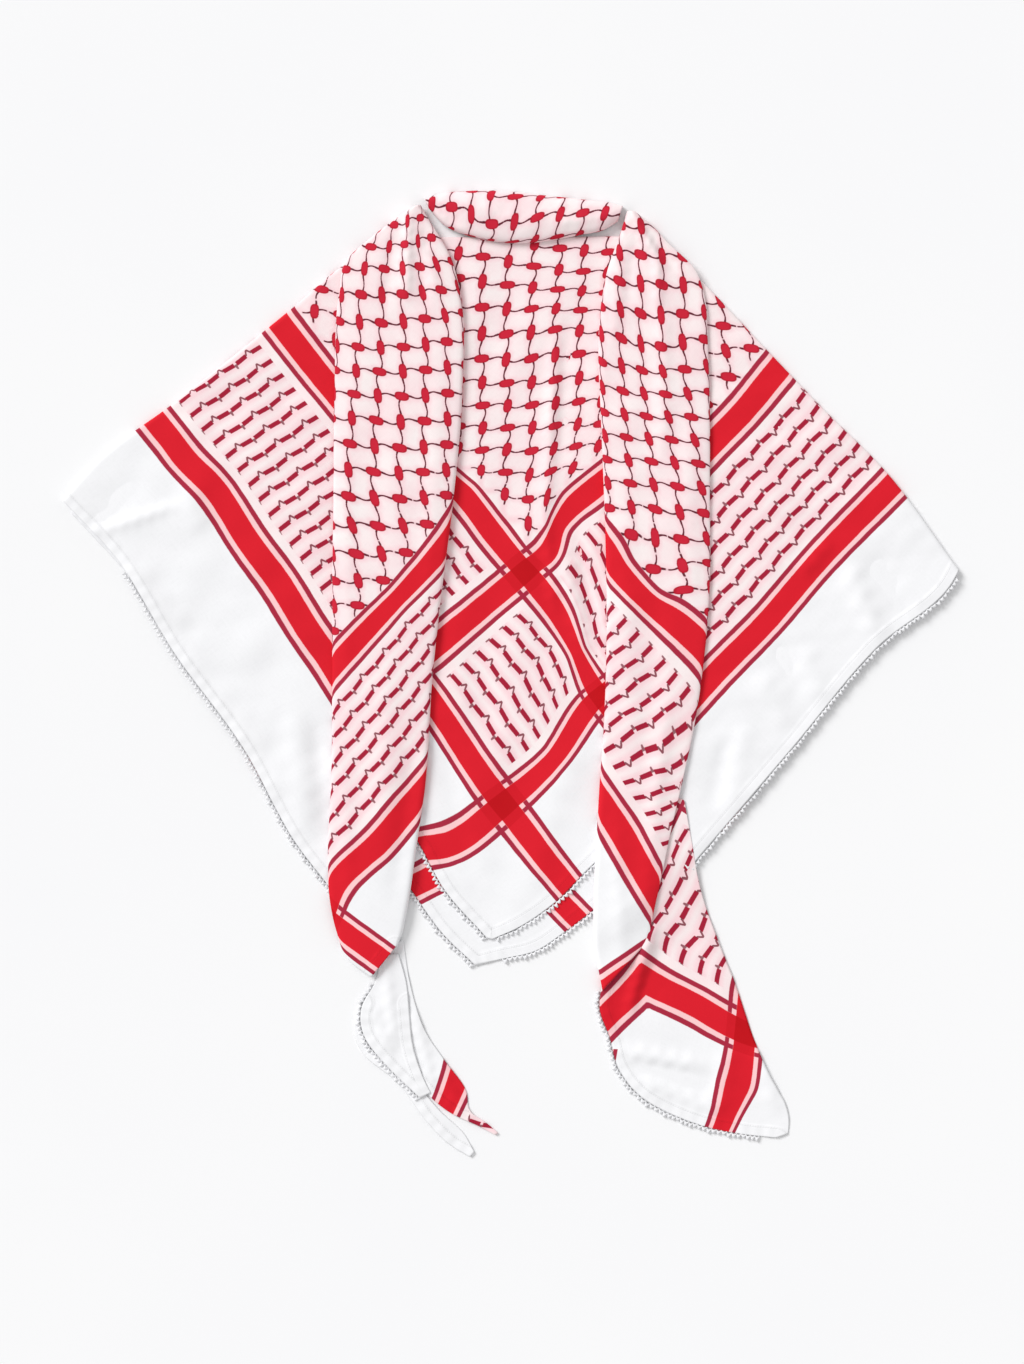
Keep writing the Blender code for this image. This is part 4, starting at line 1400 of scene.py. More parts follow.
class Wardrobe:
    """Makes the materials from the shared node groups."""

    def __init__(self) -> None:
        """Make the shared groups once."""
        self.pattern = ScarfPattern(PATTERN, FINISH)
        self.weave = Weave()
        self.stitch = HemStitch()

    def shader(self, name: str) -> tuple[bpy.types.Material, bpy.types.Node]:
        """A material with its constants set on its own shader.

        Args:
            name: the material's name.

        Returns:
            The material and its shader.
        """
        material = bpy.data.materials.new(name)
        material.use_nodes = True
        surface = material.node_tree.nodes["Principled BSDF"]
        surface.inputs["Roughness"].default_value = FINISH.roughness
        surface.inputs["Specular IOR Level"].default_value = FINISH.specular
        surface.inputs["Sheen Weight"].default_value = FINISH.sheen
        surface.inputs["Sheen Roughness"].default_value = FINISH.sheen_roughness
        surface.inputs["Metallic"].default_value = 0.0
        return material, surface

    def uv(self, tree: bpy.types.NodeTree, name: str) -> bpy.types.NodeSocket:
        """Read one of the piece's own UV maps.

        Args:
            tree: the material's graph.
            name: the map.

        Returns:
            Its vector.
        """
        node = tree.nodes.new("ShaderNodeUVMap")
        node.uv_map = name
        return node.outputs[0]

    def grouped(self, tree: bpy.types.NodeTree, group: bpy.types.NodeTree) -> bpy.types.Node:
        """Add a shared group to a material.

        Args:
            tree: the material's graph.
            group: the group.

        Returns:
            Its node.
        """
        node = tree.nodes.new("ShaderNodeGroup")
        node.node_tree = group
        return node

    def cotton(self, name: str, places: Places) -> bpy.types.Material:
        """Patterned cotton for one stretch.

        Args:
            name: the material's name.
            places: the stretch's places, for where its net and dashes start.

        Returns:
            The material.
        """
        material, surface = self.shader(name)
        tree = material.node_tree
        cloth, hem = self.uv(tree, "cloth"), self.uv(tree, "hem")
        pattern = self.grouped(tree, self.pattern.tree)
        weave = self.grouped(tree, self.weave.tree)
        stitch = self.grouped(tree, self.stitch.tree)
        p, q = places.net_start()
        pattern.inputs["Net Start"].default_value = (1000.0 * p, 1000.0 * q, 0.0)
        pattern.inputs["Dash Start"].default_value = places.dash
        tree.links.new(cloth, pattern.inputs["Cloth"])
        tree.links.new(cloth, weave.inputs["Cloth"])
        tree.links.new(hem, stitch.inputs["Hem"])
        # The weave's tone varies at random; the stitch's tone holds painted shade in the hem's groove and
        # along its edge, and a painted highlight on the stitches
        tone = Wire(tree, weave.outputs["Tone"]) * Wire(tree, stitch.outputs["Tone"])
        shade = tree.nodes.new("ShaderNodeVectorMath")
        shade.operation = "SCALE"
        tree.links.new(pattern.outputs["Colour"], shade.inputs[0])
        tree.links.new(tone.socket, shade.inputs["Scale"])
        tree.links.new(shade.outputs[0], surface.inputs["Base Color"])
        rough = Wire(tree, pattern.outputs["Ink"]) * 0.08 + FINISH.roughness
        tree.links.new(rough.socket, surface.inputs["Roughness"])
        height = Wire(tree, weave.outputs["Height"]) * 0.12 + Wire(tree, stitch.outputs["Height"])
        bump = tree.nodes.new("ShaderNodeBump")
        bump.inputs["Strength"].default_value = FINISH.weave
        bump.inputs["Distance"].default_value = 0.0004
        tree.links.new(height.socket, bump.inputs["Height"])
        tree.links.new(bump.outputs[0], surface.inputs["Normal"])
        return material

    def crochet(self, name: str) -> bpy.types.Material:
        """White crochet thread for the edging.

        Args:
            name: the material's name.

        Returns:
            The material.
        """
        material, surface = self.shader(name)
        tree = material.node_tree
        place = tree.nodes.new("ShaderNodeTexCoord").outputs["Object"]
        grain = noise(tree, place, (1400.0, 1400.0, 1400.0), 3.0)
        thread = mix(tree, grain.above(0.5, 0.25), FINISH.thread_low, FINISH.thread_high)
        tree.links.new(thread, surface.inputs["Base Color"])
        rough = grain * 0.2 + FINISH.roughness
        tree.links.new(rough.socket, surface.inputs["Roughness"])
        bump = tree.nodes.new("ShaderNodeBump")
        bump.inputs["Strength"].default_value = 0.6
        bump.inputs["Distance"].default_value = 0.0005
        tree.links.new(grain.socket, bump.inputs["Height"])
        tree.links.new(bump.outputs[0], surface.inputs["Normal"])
        return material


# ---- the pieces --------------------------------------------------------------------------
@dataclass(frozen=True)
class Cut:
    """A sheet's flat cut: its width and length, its area, and how it is held."""

    width: float
    length: float
    area: float
    held: str = "folded"


class Sheet:
    name = "sheet"
    nodes: tuple[str, ...] = ()
    slot = Slot.PATTERNED
    places = MIDDLE_PLACES
    cut = Cut(1.0, 1.0, 1.0)
    rests_on: tuple[str, ...] = ()

    def __init__(self, wardrobe: Wardrobe) -> None:
        """Keep what the sheet needs.

        Args:
            wardrobe: makes its material.
        """
        self.wardrobe = wardrobe
        self.piece: bpy.types.Object = None

    def grid(self) -> tuple[np.ndarray, np.ndarray, np.ndarray]:
        """The sheet's points, their places on the unrolled cloth, and its hem coordinates."""
        raise NotImplementedError

    def build(self) -> "Sheet":
        """Make the shell.

        Returns:
            The sheet itself.
        """
        points, spread, hem = self.grid()
        points[..., 2] = np.maximum(points[..., 2] + hem_rise(hem), CLOTH.shell + 0.0002)
        self.piece = grid_object(self.name, points, ClothMap(self.places).at(spread), hem)
        return self

    def dress(self) -> "Sheet":
        """Returns:
            The sheet itself.
        """
        self.piece.data.materials.append(self.wardrobe.cotton(self.name + "_cotton", self.places))
        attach(self.piece, "root")
        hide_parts(*self.nodes)
        faces = len(self.piece.data.polygons)
        LOG.info("%s: %d faces in its grid, for %s", self.name, faces, ", ".join(self.nodes))
        return self

    def declare(self, edgings: Sequence[bpy.types.Object]) -> None:
        """Called once all pieces are made; it does nothing, and the sheet's cut is not declared.

        Args:
            edgings: its edging pieces; not used.
        """


class BackPanel(Sheet):
    """The middle panel: a layer from the neck to both shoulders and down to its corner."""

    name = "back_panel"
    nodes = ("back_top",)
    cut = Cut(1.12, 0.64, 0.36)
    hem_left: Table = TOP_HEM_LEFT
    hem_right: Table = TOP_HEM_RIGHT
    layer = Layer.TOP
    rows = (86, 190)
    fine_columns = 92
    shows = (-0.100, 0.115)

    def rails(self) -> tuple[np.ndarray, np.ndarray, int]:
        """Left and right rails, and how many of their rows belong to the hems.

        Returns:
            Both rails and the count.
        """
        rise, down = self.rows
        inset = CLOTH.fold_radius + CLOTH.gap
        left = resample([NECK_LEFT] + list(LEFT_SHOULDER[1:]), rise) + np.array([0.6, -0.8]) * inset
        right = resample([NECK_RIGHT] + list(RIGHT_SHOULDER[1:]), rise) + np.array([-0.6, -0.8]) * inset
        left = np.vstack([left[:-1], resample(self.hem_left, down)])
        right = np.vstack([right[:-1], resample(self.hem_right, down)])
        return left, right, down

    def grid(self) -> tuple[np.ndarray, np.ndarray, np.ndarray]:
        """Columns: close together in both hems and where the panel shows, wider elsewhere.

        Returns:
            Points, places on the cloth and hem coordinates.
        """
        left, right, down = self.rails()
        width = (right[:, 0] - left[:, 0])[:, None]
        scale = np.minimum(1.0, width / 0.07)
        edge = np.array([0.0, 0.0012, 0.004, 0.007, 0.0082, 0.0090, 0.0098, 0.0110, 0.0150, 0.0200]) * scale
        lead = left[:, :1]
        fine_from = np.maximum(self.shows[0], lead + edge[:, -1:] + 0.004 * scale)
        fine_to = np.minimum(self.shows[1], right[:, :1] - edge[:, -1:] - 0.004 * scale)
        coarse = np.linspace(0.0, 1.0, 5)[1:-1]
        before = lead + edge[:, -1:] + (fine_from - lead - edge[:, -1:]) * coarse
        fine = fine_from + (fine_to - fine_from) * np.linspace(0.0, 1.0, self.fine_columns)
        after = fine_to + (right[:, :1] - edge[:, -1:] - fine_to) * coarse
        x = np.hstack([lead + edge, before, fine, after, (right[:, :1] - edge)[:, ::-1]])
        y = left[:, 1:2] + (right[:, 1:2] - left[:, 1:2]) * (x - lead) / width
        z = self.layer.value * CLOTH.pitch + CLOTH.wall + self.relief(x, y)
        points = np.stack([x, y, z], -1)
        hem = hem_coordinates(points, np.vstack([left[-down:], right[-down:][::-1]]))
        return points, points[..., :2].copy(), hem

    def relief(self, x: np.ndarray, y: np.ndarray) -> np.ndarray:
        """Creases and ripples, only where the panel shows.

        Args:
            x: places.
            y: places.

        Returns:
            Heights in metres.
        """
        seen = smooth_step((x + 0.085) / 0.02) * smooth_step((0.098 - x) / 0.02)
        return seen * (crease_height(BACK_CREASES, x, y) + ripple(x, y, 3, 0.045, 0.0005))


class BackLining(BackPanel):
    """The layer under the middle panel, which shows past its hems."""

    name = "back_lining"
    nodes = ("back_under",)
    slot = Slot.INNER
    places = UNDER_PLACES
    hem_left = UNDER_HEM_LEFT
    hem_right = UNDER_HEM_RIGHT
    layer = Layer.UNDER
    rows = (12, 150)
    fine_columns = 40

    def relief(self, x: np.ndarray, y: np.ndarray) -> np.ndarray:
        """A few ripples.

        Args:
            x: places.
            y: places.

        Returns:
            Heights in metres.
        """
        return ripple(x, y, 11, 0.05, 0.0002)


class Flap(Sheet):
    """A front flap: two plies over the shoulder fold, the upper one down to its hem."""

    side = -1.0
    shoulder: Table = LEFT_SHOULDER
    hem_line: Table = LEFT_FLAP_HEM
    tail: Table = LEFT_TAIL
    creases: Table = LEFT_FLAP_CREASES
    seed = 5
    rows = 172
    columns = 205
    under_columns = 18

    def rails(self) -> tuple[np.ndarray, np.ndarray, np.ndarray]:
        """The shoulder fold, the edge hidden by the roll, and the places of the rows.

        Returns:
            Both rails and the places.
        """
        place = along_rail(self.rows, 0.50, True)
        outer = resample(self.shoulder, place)
        roll = resample(self.tail, 60)[:, 2:4]
        first = np.asarray(self.shoulder[0]) + np.array([-self.side * 0.012, -0.004])
        last = np.asarray(self.hem_line[-1])
        inner = first + place[:, None] * (last - first)
        reach = np.interp(-inner[:, 1], -roll[:, 1], roll[:, 0])
        clear = CLOTH.fold_radius + CLOTH.pitch
        limit = reach - clear if self.side < 0 else reach + clear
        ease = smooth_step((1.0 - place) / 0.06) * smooth_step(place / 0.02)
        inner[:, 0] += ease * (limit - inner[:, 0])
        return outer, inner, place

    def face(self, x: np.ndarray, y: np.ndarray) -> np.ndarray:
        """Height of the upper ply: its layer, the creases and the ripples.

        Args:
            x: places.
            y: places.

        Returns:
            Heights in metres.
        """
        relief = crease_height(self.creases, x, y) + ripple(x, y, self.seed, 0.06, 0.0005)
        lean = ripple(x, y, self.seed + 40, 0.022, 0.00012)
        return layer_top(Layer.WING, x, y) + relief + lean

    def foot(self, x: np.ndarray, y: np.ndarray, inward: np.ndarray) -> np.ndarray:
        """Height of the ply underneath: down at the fold, up on the panel below further in.

        Args:
            x: places.
            y: places.
            inward: distance in from the fold.

        Returns:
            Heights in metres.
        """
        low = 0.0011
        rise = smooth_step((inward - CLOTH.fold_radius) / 0.009)
        return low + (layer_top(Layer.INNER, x, y) - 0.0002 - low) * rise

    def grid(self) -> tuple[np.ndarray, np.ndarray, np.ndarray]:
        """Rows run beside the hem, and bow with it the nearer they are to it.

        Returns:
            Points, places on the cloth and hem coordinates.
        """
        outer, inner, place = self.rails()
        fold = Fold(0.60, self.under_columns, self.foot)
        points, spread = section_grid(outer, inner, np.linspace(0.0, 1.0, self.columns), self.face, fold)
        line = np.asarray(self.hem_line, float)
        fine = resample(self.hem_line, 240)
        chord = line[-1] - line[0]
        long = chord @ chord
        share = ((fine - line[0]) @ chord) / long
        off = fine - line[0] - share[:, None] * chord
        across = np.clip(((points[..., :2] - line[0]) @ chord) / long, 0.0, 1.0)
        bow = np.stack([np.interp(across, share, off[:, k]) for k in range(2)], -1)
        bow = bow * (place**3)[:, None, None]
        points[..., :2] += bow
        spread = spread + bow
        points[..., 2] = self.lifted(points)
        hem = hem_coordinates(points, fine)
        return points, spread, hem

    def lifted(self, points: np.ndarray) -> np.ndarray:
        """Heights again after the rows have bowed, on the upper ply only.

        Args:
            points: the grid.

        Returns:
            Heights in metres.
        """
        z = points[..., 2].copy()
        first = self.under_columns + TURN_STEPS
        z[:, first:] = self.face(points[:, first:, 0], points[:, first:, 1])
        return z


class LeftFlap(Flap):
    """The flap on the left."""

    name = "left_flap"
    nodes = ("left_wing", "left_inner")
    places = LEFT_WING_PLACES
    cut = Cut(0.62, 0.66, 0.20)
    rests_on = ("back_panel",)


class RightFlap(Flap):
    """The flap on the right."""

    name = "right_flap"
    nodes = ("right_wing", "right_inner")
    places = RIGHT_WING_PLACES
    cut = Cut(0.62, 0.66, 0.19)
    rests_on = ("back_panel",)
    side = 1.0
    shoulder = RIGHT_SHOULDER
    hem_line = RIGHT_FLAP_HEM
    tail = RIGHT_TAIL
    creases = RIGHT_FLAP_CREASES
    seed = 6


class Tail(Sheet):
    """A rolled end that hangs down the front: its face, turned under at both edges."""

    table: Table = LEFT_TAIL
    creases: Table = LEFT_TAIL_CREASES
    seed = 7
    rows = 300
    columns = 40
    crown = 0.0016

    def grid(self) -> tuple[np.ndarray, np.ndarray, np.ndarray]:
        """Rows run across the roll.

        Returns:
            Points, places on the cloth and hem coordinates.
        """
        rows = resample(self.table, along_rail(self.rows, 0.68, self.seed == 7))
        outer, inner, rim = rows[:, 0:2], rows[:, 2:4], rows[:, 4:5] * CLOTH.pitch
        low = layer_top(Layer.CORE, outer[:, 0], outer[:, 1]) - CLOTH.wall - Layer.CORE.value * CLOTH.pitch
        outer_foot = np.maximum(rim + low[:, None], 0.0012) + 0.0004
        inner_foot = np.maximum(layer_top(Layer.INNER, inner[:, 0], inner[:, 1]) - 0.0008, 0.0015)[:, None]
        middle = (np.linspace(0.0, 1.0, self.columns) - 0.5) * 2.0
        middle = 0.5 + 0.5 * middle * (0.85 + 0.15 * middle**2)
        start_fold = Fold(0.020, 3, lambda x, y, inward: np.broadcast_to(outer_foot, x.shape))
        end_fold = Fold(0.020, 3, lambda x, y, inward: np.broadcast_to(inner_foot, x.shape))
        width = np.linalg.norm(inner - outer, axis=1)[:, None]
        points, spread = section_grid(outer, inner, middle, self.face, start_fold, end_fold)
        count = points.shape[1]
        centre = (outer + inner)[:, None, :] / 2.0
        away = np.linalg.norm(points[..., :2] - centre, axis=-1) / (width / 2.0)
        crown = self.crown * (1.0 - np.clip(away, 0.0, 1.0) ** 2)
        upper = np.zeros(count)
        upper[3 + TURN_STEPS : count - 3 - TURN_STEPS] = 1.0
        points[..., 2] += crown * upper[None, :]
        return points, spread, self.hem(points)

    def face(self, x: np.ndarray, y: np.ndarray) -> np.ndarray:
        """Height of the roll's face: its layer, the creases and the ripples.

        Args:
            x: places.
            y: places.

        Returns:
            Heights in metres.
        """
        relief = crease_height(self.creases, x, y) + ripple(x, y, self.seed, 0.05, 0.0004)
        return layer_top(Layer.TAIL, x, y) + relief

    def hem(self, points: np.ndarray) -> np.ndarray:
        """Hem coordinates.

        Args:
            points: the grid.

        Returns:
            Rows by columns by along, inward.
        """
        return no_hem(points)


class LeftTail(Tail):
    """The left roll."""

    name = "left_tail_roll"
    nodes = ("left_tail",)
    places = LEFT_TAIL_PLACES
    cut = Cut(0.16, 0.69, 0.105)
    rests_on = ("left_flap", "back_panel")

    def hem(self, points: np.ndarray) -> np.ndarray:
        """The roll ends in a hem.

        Args:
            points: the grid.

        Returns:
            Rows by columns by along, inward.
        """
        return hem_coordinates(points, points[-1, 3 + TURN_STEPS : -3 - TURN_STEPS, :2])


class RightTail(Tail):
    """The right roll."""

    name = "right_tail_roll"
    nodes = ("right_tail",)
    places = RIGHT_TAIL_PLACES
    cut = Cut(0.15, 0.74, 0.100)
    rests_on = ("right_flap", "back_panel")
    table = RIGHT_TAIL
    creases = RIGHT_TAIL_CREASES
    seed = 8


class TurnedIn(Sheet):
    """The layers turned in under a roll, hidden but for its open end."""

    slot = Slot.INNER
    table: Table = LEFT_TAIL
    cut = Cut(0.17, 0.56, 0.075)
    rows = 90
    columns = 14

    def grid(self) -> tuple[np.ndarray, np.ndarray, np.ndarray]:
        """Rows run across the roll, clear of its edges.

        Returns:
            Points, places on the cloth and hem coordinates.
        """
        rows = resample(self.table, np.linspace(0.09, 0.80, self.rows))
        outer, inner = rows[:, 0:2], rows[:, 2:4]
        run = (inner - outer) / np.linalg.norm(inner - outer, axis=1)[:, None]
        start, end = outer + 0.013 * run, inner - 0.006 * run

        def top(x: np.ndarray, y: np.ndarray) -> np.ndarray:
            """Height of the upper of the turned-in layers."""
            return layer_top(Layer.CORE, x, y) + 0.0010

        def foot(x: np.ndarray, y: np.ndarray, inward: np.ndarray) -> np.ndarray:
            """Height of the lower of the turned-in layers."""
            return layer_top(Layer.CORE, x, y) - 0.0004

        fold = Fold(0.05, 6, foot)
        points, spread = section_grid(start, end, np.linspace(0.0, 1.0, self.columns), top, fold)
        return points, spread, no_hem(points)


class LeftTurnedIn(TurnedIn):
    """The layers inside the left roll."""

    name = "left_tail_turned_in"
    nodes = ("left_tail_core",)
    places = LEFT_TAIL_PLACES
    rests_on = ("left_flap",)


class RightTurnedIn(TurnedIn):
    """The layers inside the right roll."""

    name = "right_tail_turned_in"
    nodes = ("right_tail_core",)
    places = RIGHT_TAIL_PLACES
    table = RIGHT_TAIL
    rests_on = ("right_flap",)


class NeckRoll(Sheet):
    """The roll behind the neck, rounded over its top and its lower edge."""

    name = "neck_roll"
    nodes = ("collar",)
    places = COLLAR_PLACES
    cut = Cut(0.075, 0.18, 0.012)
    rests_on = ("back_panel",)
    rows = 120
    columns = 44
    rise = 0.0105
    pull = 0.0
    drop = 0.0

    def grid(self) -> tuple[np.ndarray, np.ndarray, np.ndarray]:
        """Each row is a flattened half round: height = foot + rise sin(t)^0.6.

        Returns:
            Points, places on the cloth and hem coordinates.
        """
        rows = resample(COLLAR, self.rows)
        upper, lower = rows[:, 0:2], rows[:, 2:4]
        width = np.linalg.norm(lower - upper, axis=1)[:, None]
        run = (lower - upper) / width
        upper, width = upper + run * self.pull, width - 2.0 * self.pull
        turn = np.linspace(0.0, math.pi, self.columns)[None, :]
        at = width * (1.0 - np.cos(turn)) / 2.0
        plan = upper[:, None, :] + at[..., None] * run[:, None, :]
        x, y = plan[..., 0], plan[..., 1]
        base = Layer.INNER.value * CLOTH.pitch
        place = np.linspace(-1.0, 1.0, self.rows)[:, None]
        height = base + self.rise * (1.0 - 0.35 * place**4) - self.drop
        foot = np.where(turn < math.pi / 2, 0.0012, base + 0.0002)
        crown = np.sin(turn) ** 0.6
        relief = crease_height(COLLAR_CREASES, x, y) + ripple(x, y, 9, 0.03, 0.0004)
        z = foot + (height - foot + relief) * crown
        points = np.concatenate([plan, z[..., None]], -1)
        unrolled = width * (turn / math.pi) * 1.15 - 0.075 * width
        spread = upper[:, None, :] + unrolled[..., None] * run[:, None, :]
        return points, spread, no_hem(points)


class NeckLining(NeckRoll):
    """The layers inside the neck roll."""

    name = "neck_roll_lining"
    nodes = ("collar_core",)
    slot = Slot.INNER
    cut = Cut(0.05, 0.17, 0.0045)
    rows = 40
    columns = 14
    pull = 0.0050
    drop = 0.0020


class LooseEnd(Sheet):
    """An end of the cloth that lies on the surface, or on what is below it."""

    table: Table = RIGHT_TAIL_END
    creases: Table = RIGHT_END_CREASES
    rows = 150
    columns = 56
    seed = 21
    hem_sides: tuple[str, ...] = ("start",)

    def level(self, x: np.ndarray, y: np.ndarray) -> np.ndarray:
        """Height of the layer.

        Args:
            x: places.
            y: places.

        Returns:
            Heights in metres.
        """
        return layer_top(Layer.CORE, x, y)

    def grid(self) -> tuple[np.ndarray, np.ndarray, np.ndarray]:
        """Rows run across the end.

        Returns:
            Points, places on the cloth and hem coordinates.
        """
        rows = resample(self.table, self.rows)
        start, end = rows[:, 0:2], rows[:, 2:4]
        share = np.linspace(0.0, 1.0, self.columns)
        plan = start[:, None, :] + share[None, :, None] * (end - start)[:, None, :]
        x, y = plan[..., 0], plan[..., 1]
        z = self.level(x, y) + crease_height(self.creases, x, y) + ripple(x, y, self.seed, 0.04, 0.0003)
        points = np.concatenate([plan, z[..., None]], -1)
        hem = no_hem(points)
        for side in self.hem_sides:
            rail = {"start": start, "end": end}[side][self.rows // 3 :]
            found = hem_coordinates(points, rail)
            hem = np.where(found[..., 1:] < hem[..., 1:], found, hem)
        return points, plan.copy(), hem


class RightEnd(LooseEnd):
    """The wide end of the right tail, its left side doubled over a fold."""

    name = "right_tail_corner"
    nodes = ("right_tail_end",)
    places = RIGHT_END_PLACES
    cut = Cut(0.17, 0.32, 0.034)
    rests_on = ("right_flap",)
    fold_at = (0.1175, -0.2615)
    fold_run = (0.159, -0.987)

    def grid(self) -> tuple[np.ndarray, np.ndarray, np.ndarray]:
        """Left of the fold the cloth lies turned over, so its place is mirrored across it.

        Returns:
            Points, places on the cloth and hem coordinates.
        """
        points, spread, hem = super().grid()
        off = spread - np.asarray(self.fold_at)
        across = off[..., 0] * -self.fold_run[1] + off[..., 1] * self.fold_run[0]
        turned = np.where((across < 0.0) & (off[..., 1] > -0.075), 2.0 * across, 0.0)
        side = np.array([-self.fold_run[1], self.fold_run[0]])
        return points, spread - turned[..., None] * side, hem


class LeftEnd(LooseEnd):
    """The white panel below the left roll."""

    name = "left_tail_panel"
    nodes = ("left_tail_end",)
    places = LEFT_END_PLACES
    cut = Cut(0.05, 0.14, 0.0042)
    rests_on = ("left_tail_strip",)
    table = LEFT_TAIL_END
    creases = LEFT_END_CREASES
    rows = 80
    columns = 34
    seed = 22
    hem_sides = ("start", "end")

    def level(self, x: np.ndarray, y: np.ndarray) -> np.ndarray:
        """Height of the layer, one up from the surface."""
        return np.full_like(x, Layer.TOP.value * CLOTH.pitch + CLOTH.wall)


class TipStrip(LooseEnd):
    """The long strip that ends the left tail."""

    name = "left_tail_strip"
    nodes = ("left_tail_tip",)
    places = TIP_PLACES
    cut = Cut(0.05, 0.20, 0.0052)
    table = LEFT_TAIL_TIP
    creases = TIP_CREASES
    rows = 100
    columns = 26
    seed = 23
    hem_sides = ("start",)

    def level(self, x: np.ndarray, y: np.ndarray) -> np.ndarray:
        """Height of the layer, on the surface."""
        return np.full_like(x, CLOTH.wall)


class TipBack(TipStrip):
    """The hem that shows behind the white panel."""

    name = "left_tail_back_hem"
    nodes = ("left_tail_tip_under",)
    places = LEFT_END_PLACES
    slot = Slot.INNER
    cut = Cut(0.03, 0.18, 0.0026)
    table = LEFT_TAIL_TIP_UNDER
    creases = ()
    rows = 90
    columns = 16
    seed = 24


@dataclass(frozen=True)
class PicotSizes:
    """Sizes of the picot edging, in metres."""

    period: float = 0.0043
    thread: float = 0.0007
    bead: float = 0.0011
    reach: float = 0.0027
    step: float = 0.00048
    around: int = 7


class PicotEdging:
    """Picot edging beside a hem: one crochet cord whose scallops stand out from the hem."""

    def __init__(self, name: str, node: str, sheet: Sheet, rail: np.ndarray, level: np.ndarray) -> None:
        """Keep what the edging needs.

        Args:
            name: the piece's name.
            node: its CAD node.
            sheet: the sheet that carries it.
            rail: the hem's points, outward side on the left of their run.
            level: height of the hem at each of them.
        """
        self.name = name
        self.node = node
        self.sheet = sheet
        self.rail = rail
        self.level = level
        self.sizes = PicotSizes()
        self.piece: bpy.types.Object = None

    def build(self) -> "PicotEdging":
        """Make the cord: a ring of points at each step, further out and thicker in a scallop.

        Reach out from the hem = reach |sin(pi s / period)|^0.7, and radius =
        thread + bead |sin|, with both a little uneven.

        Returns:
            The edging itself.
        """
        sizes = self.sizes
        length = np.concatenate([[0.0], np.cumsum(np.linalg.norm(np.diff(self.rail, axis=0), axis=1))])
        at = np.arange(0.0, length[-1], sizes.step)
        centre = np.column_stack([np.interp(at, length, self.rail[:, k]) for k in range(2)])
        level = np.interp(at, length, self.level)
        run = np.gradient(centre, axis=0)
        run = run / np.linalg.norm(run, axis=1)[:, None]
        out = np.column_stack([-run[:, 1], run[:, 0]])
        beat = np.abs(np.sin(math.pi * at / sizes.period + 0.6 * np.sin(at * 90.0)))
        uneven = 1.0 + 0.18 * np.sin(at * 310.0) + 0.12 * np.sin(at * 731.0)
        reach = sizes.reach * beat**0.7 * uneven
        radius = sizes.thread + sizes.bead * beat * uneven
        centre = centre + out * reach[:, None]
        turn = np.linspace(0.0, 2.0 * math.pi, sizes.around, endpoint=False)
        side = np.cos(turn)[None, :, None] * out[:, None, :] * radius[:, None, None]
        ring = centre[:, None, :] + side
        up = np.sin(turn)[None, :] * radius[:, None] * 0.8
        z = np.maximum(level, sizes.thread + sizes.bead)[:, None] + up
        points = np.concatenate([ring, z[..., None]], -1)
        self.piece = self.tube(points)
        return self

    def tube(self, points: np.ndarray) -> bpy.types.Object:
        """A closed tube through rings of points.

        Args:
            points: rings by points by x, y, z.

        Returns:
            The new object.
        """
        count, around = points.shape[:2]
        index = np.arange(count * around).reshape(count, around)
        after = np.roll(index, -1, axis=1)
        quads = np.stack([index[:-1], after[:-1], after[1:], index[1:]], -1).reshape(-1, 4)
        faces = quads[:, ::-1].tolist() + [index[0].tolist(), index[-1][::-1].tolist()]
        mesh = bpy.data.meshes.new(self.name)
        mesh.from_pydata(points.reshape(-1, 3).tolist(), [], faces)
        mesh.shade_smooth()
        piece = bpy.data.objects.new(self.name, mesh)
        bpy.context.scene.collection.objects.link(piece)
        return piece

    def dress(self, material: bpy.types.Material) -> "PicotEdging":
        """Args:
            material: the crochet thread.

        Returns:
            The edging itself.
        """
        self.piece.data.materials.append(material)
        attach(self.piece, "root")
        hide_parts(self.node)
        LOG.info("%s: %d faces, for %s", self.name, len(self.piece.data.polygons), self.node)
        return self


@dataclass(frozen=True)
class StudioSizes:
    """The floor and the camera in metres (the lens and its sensor in millimetres), the key light
    in watts a square metre, and its spread and turns in radians."""

    floor: float = 6.0
    centre: tuple = (0.0014, -0.0068)
    seen_height: float = 1.2276
    lens: float = 85.0
    sensor: float = 36.0
    key: float = 2.15
    key_spread: float = 0.45
    key_tilt: float = 0.92
    key_turn: float = 2.45
    world: float = 0.60


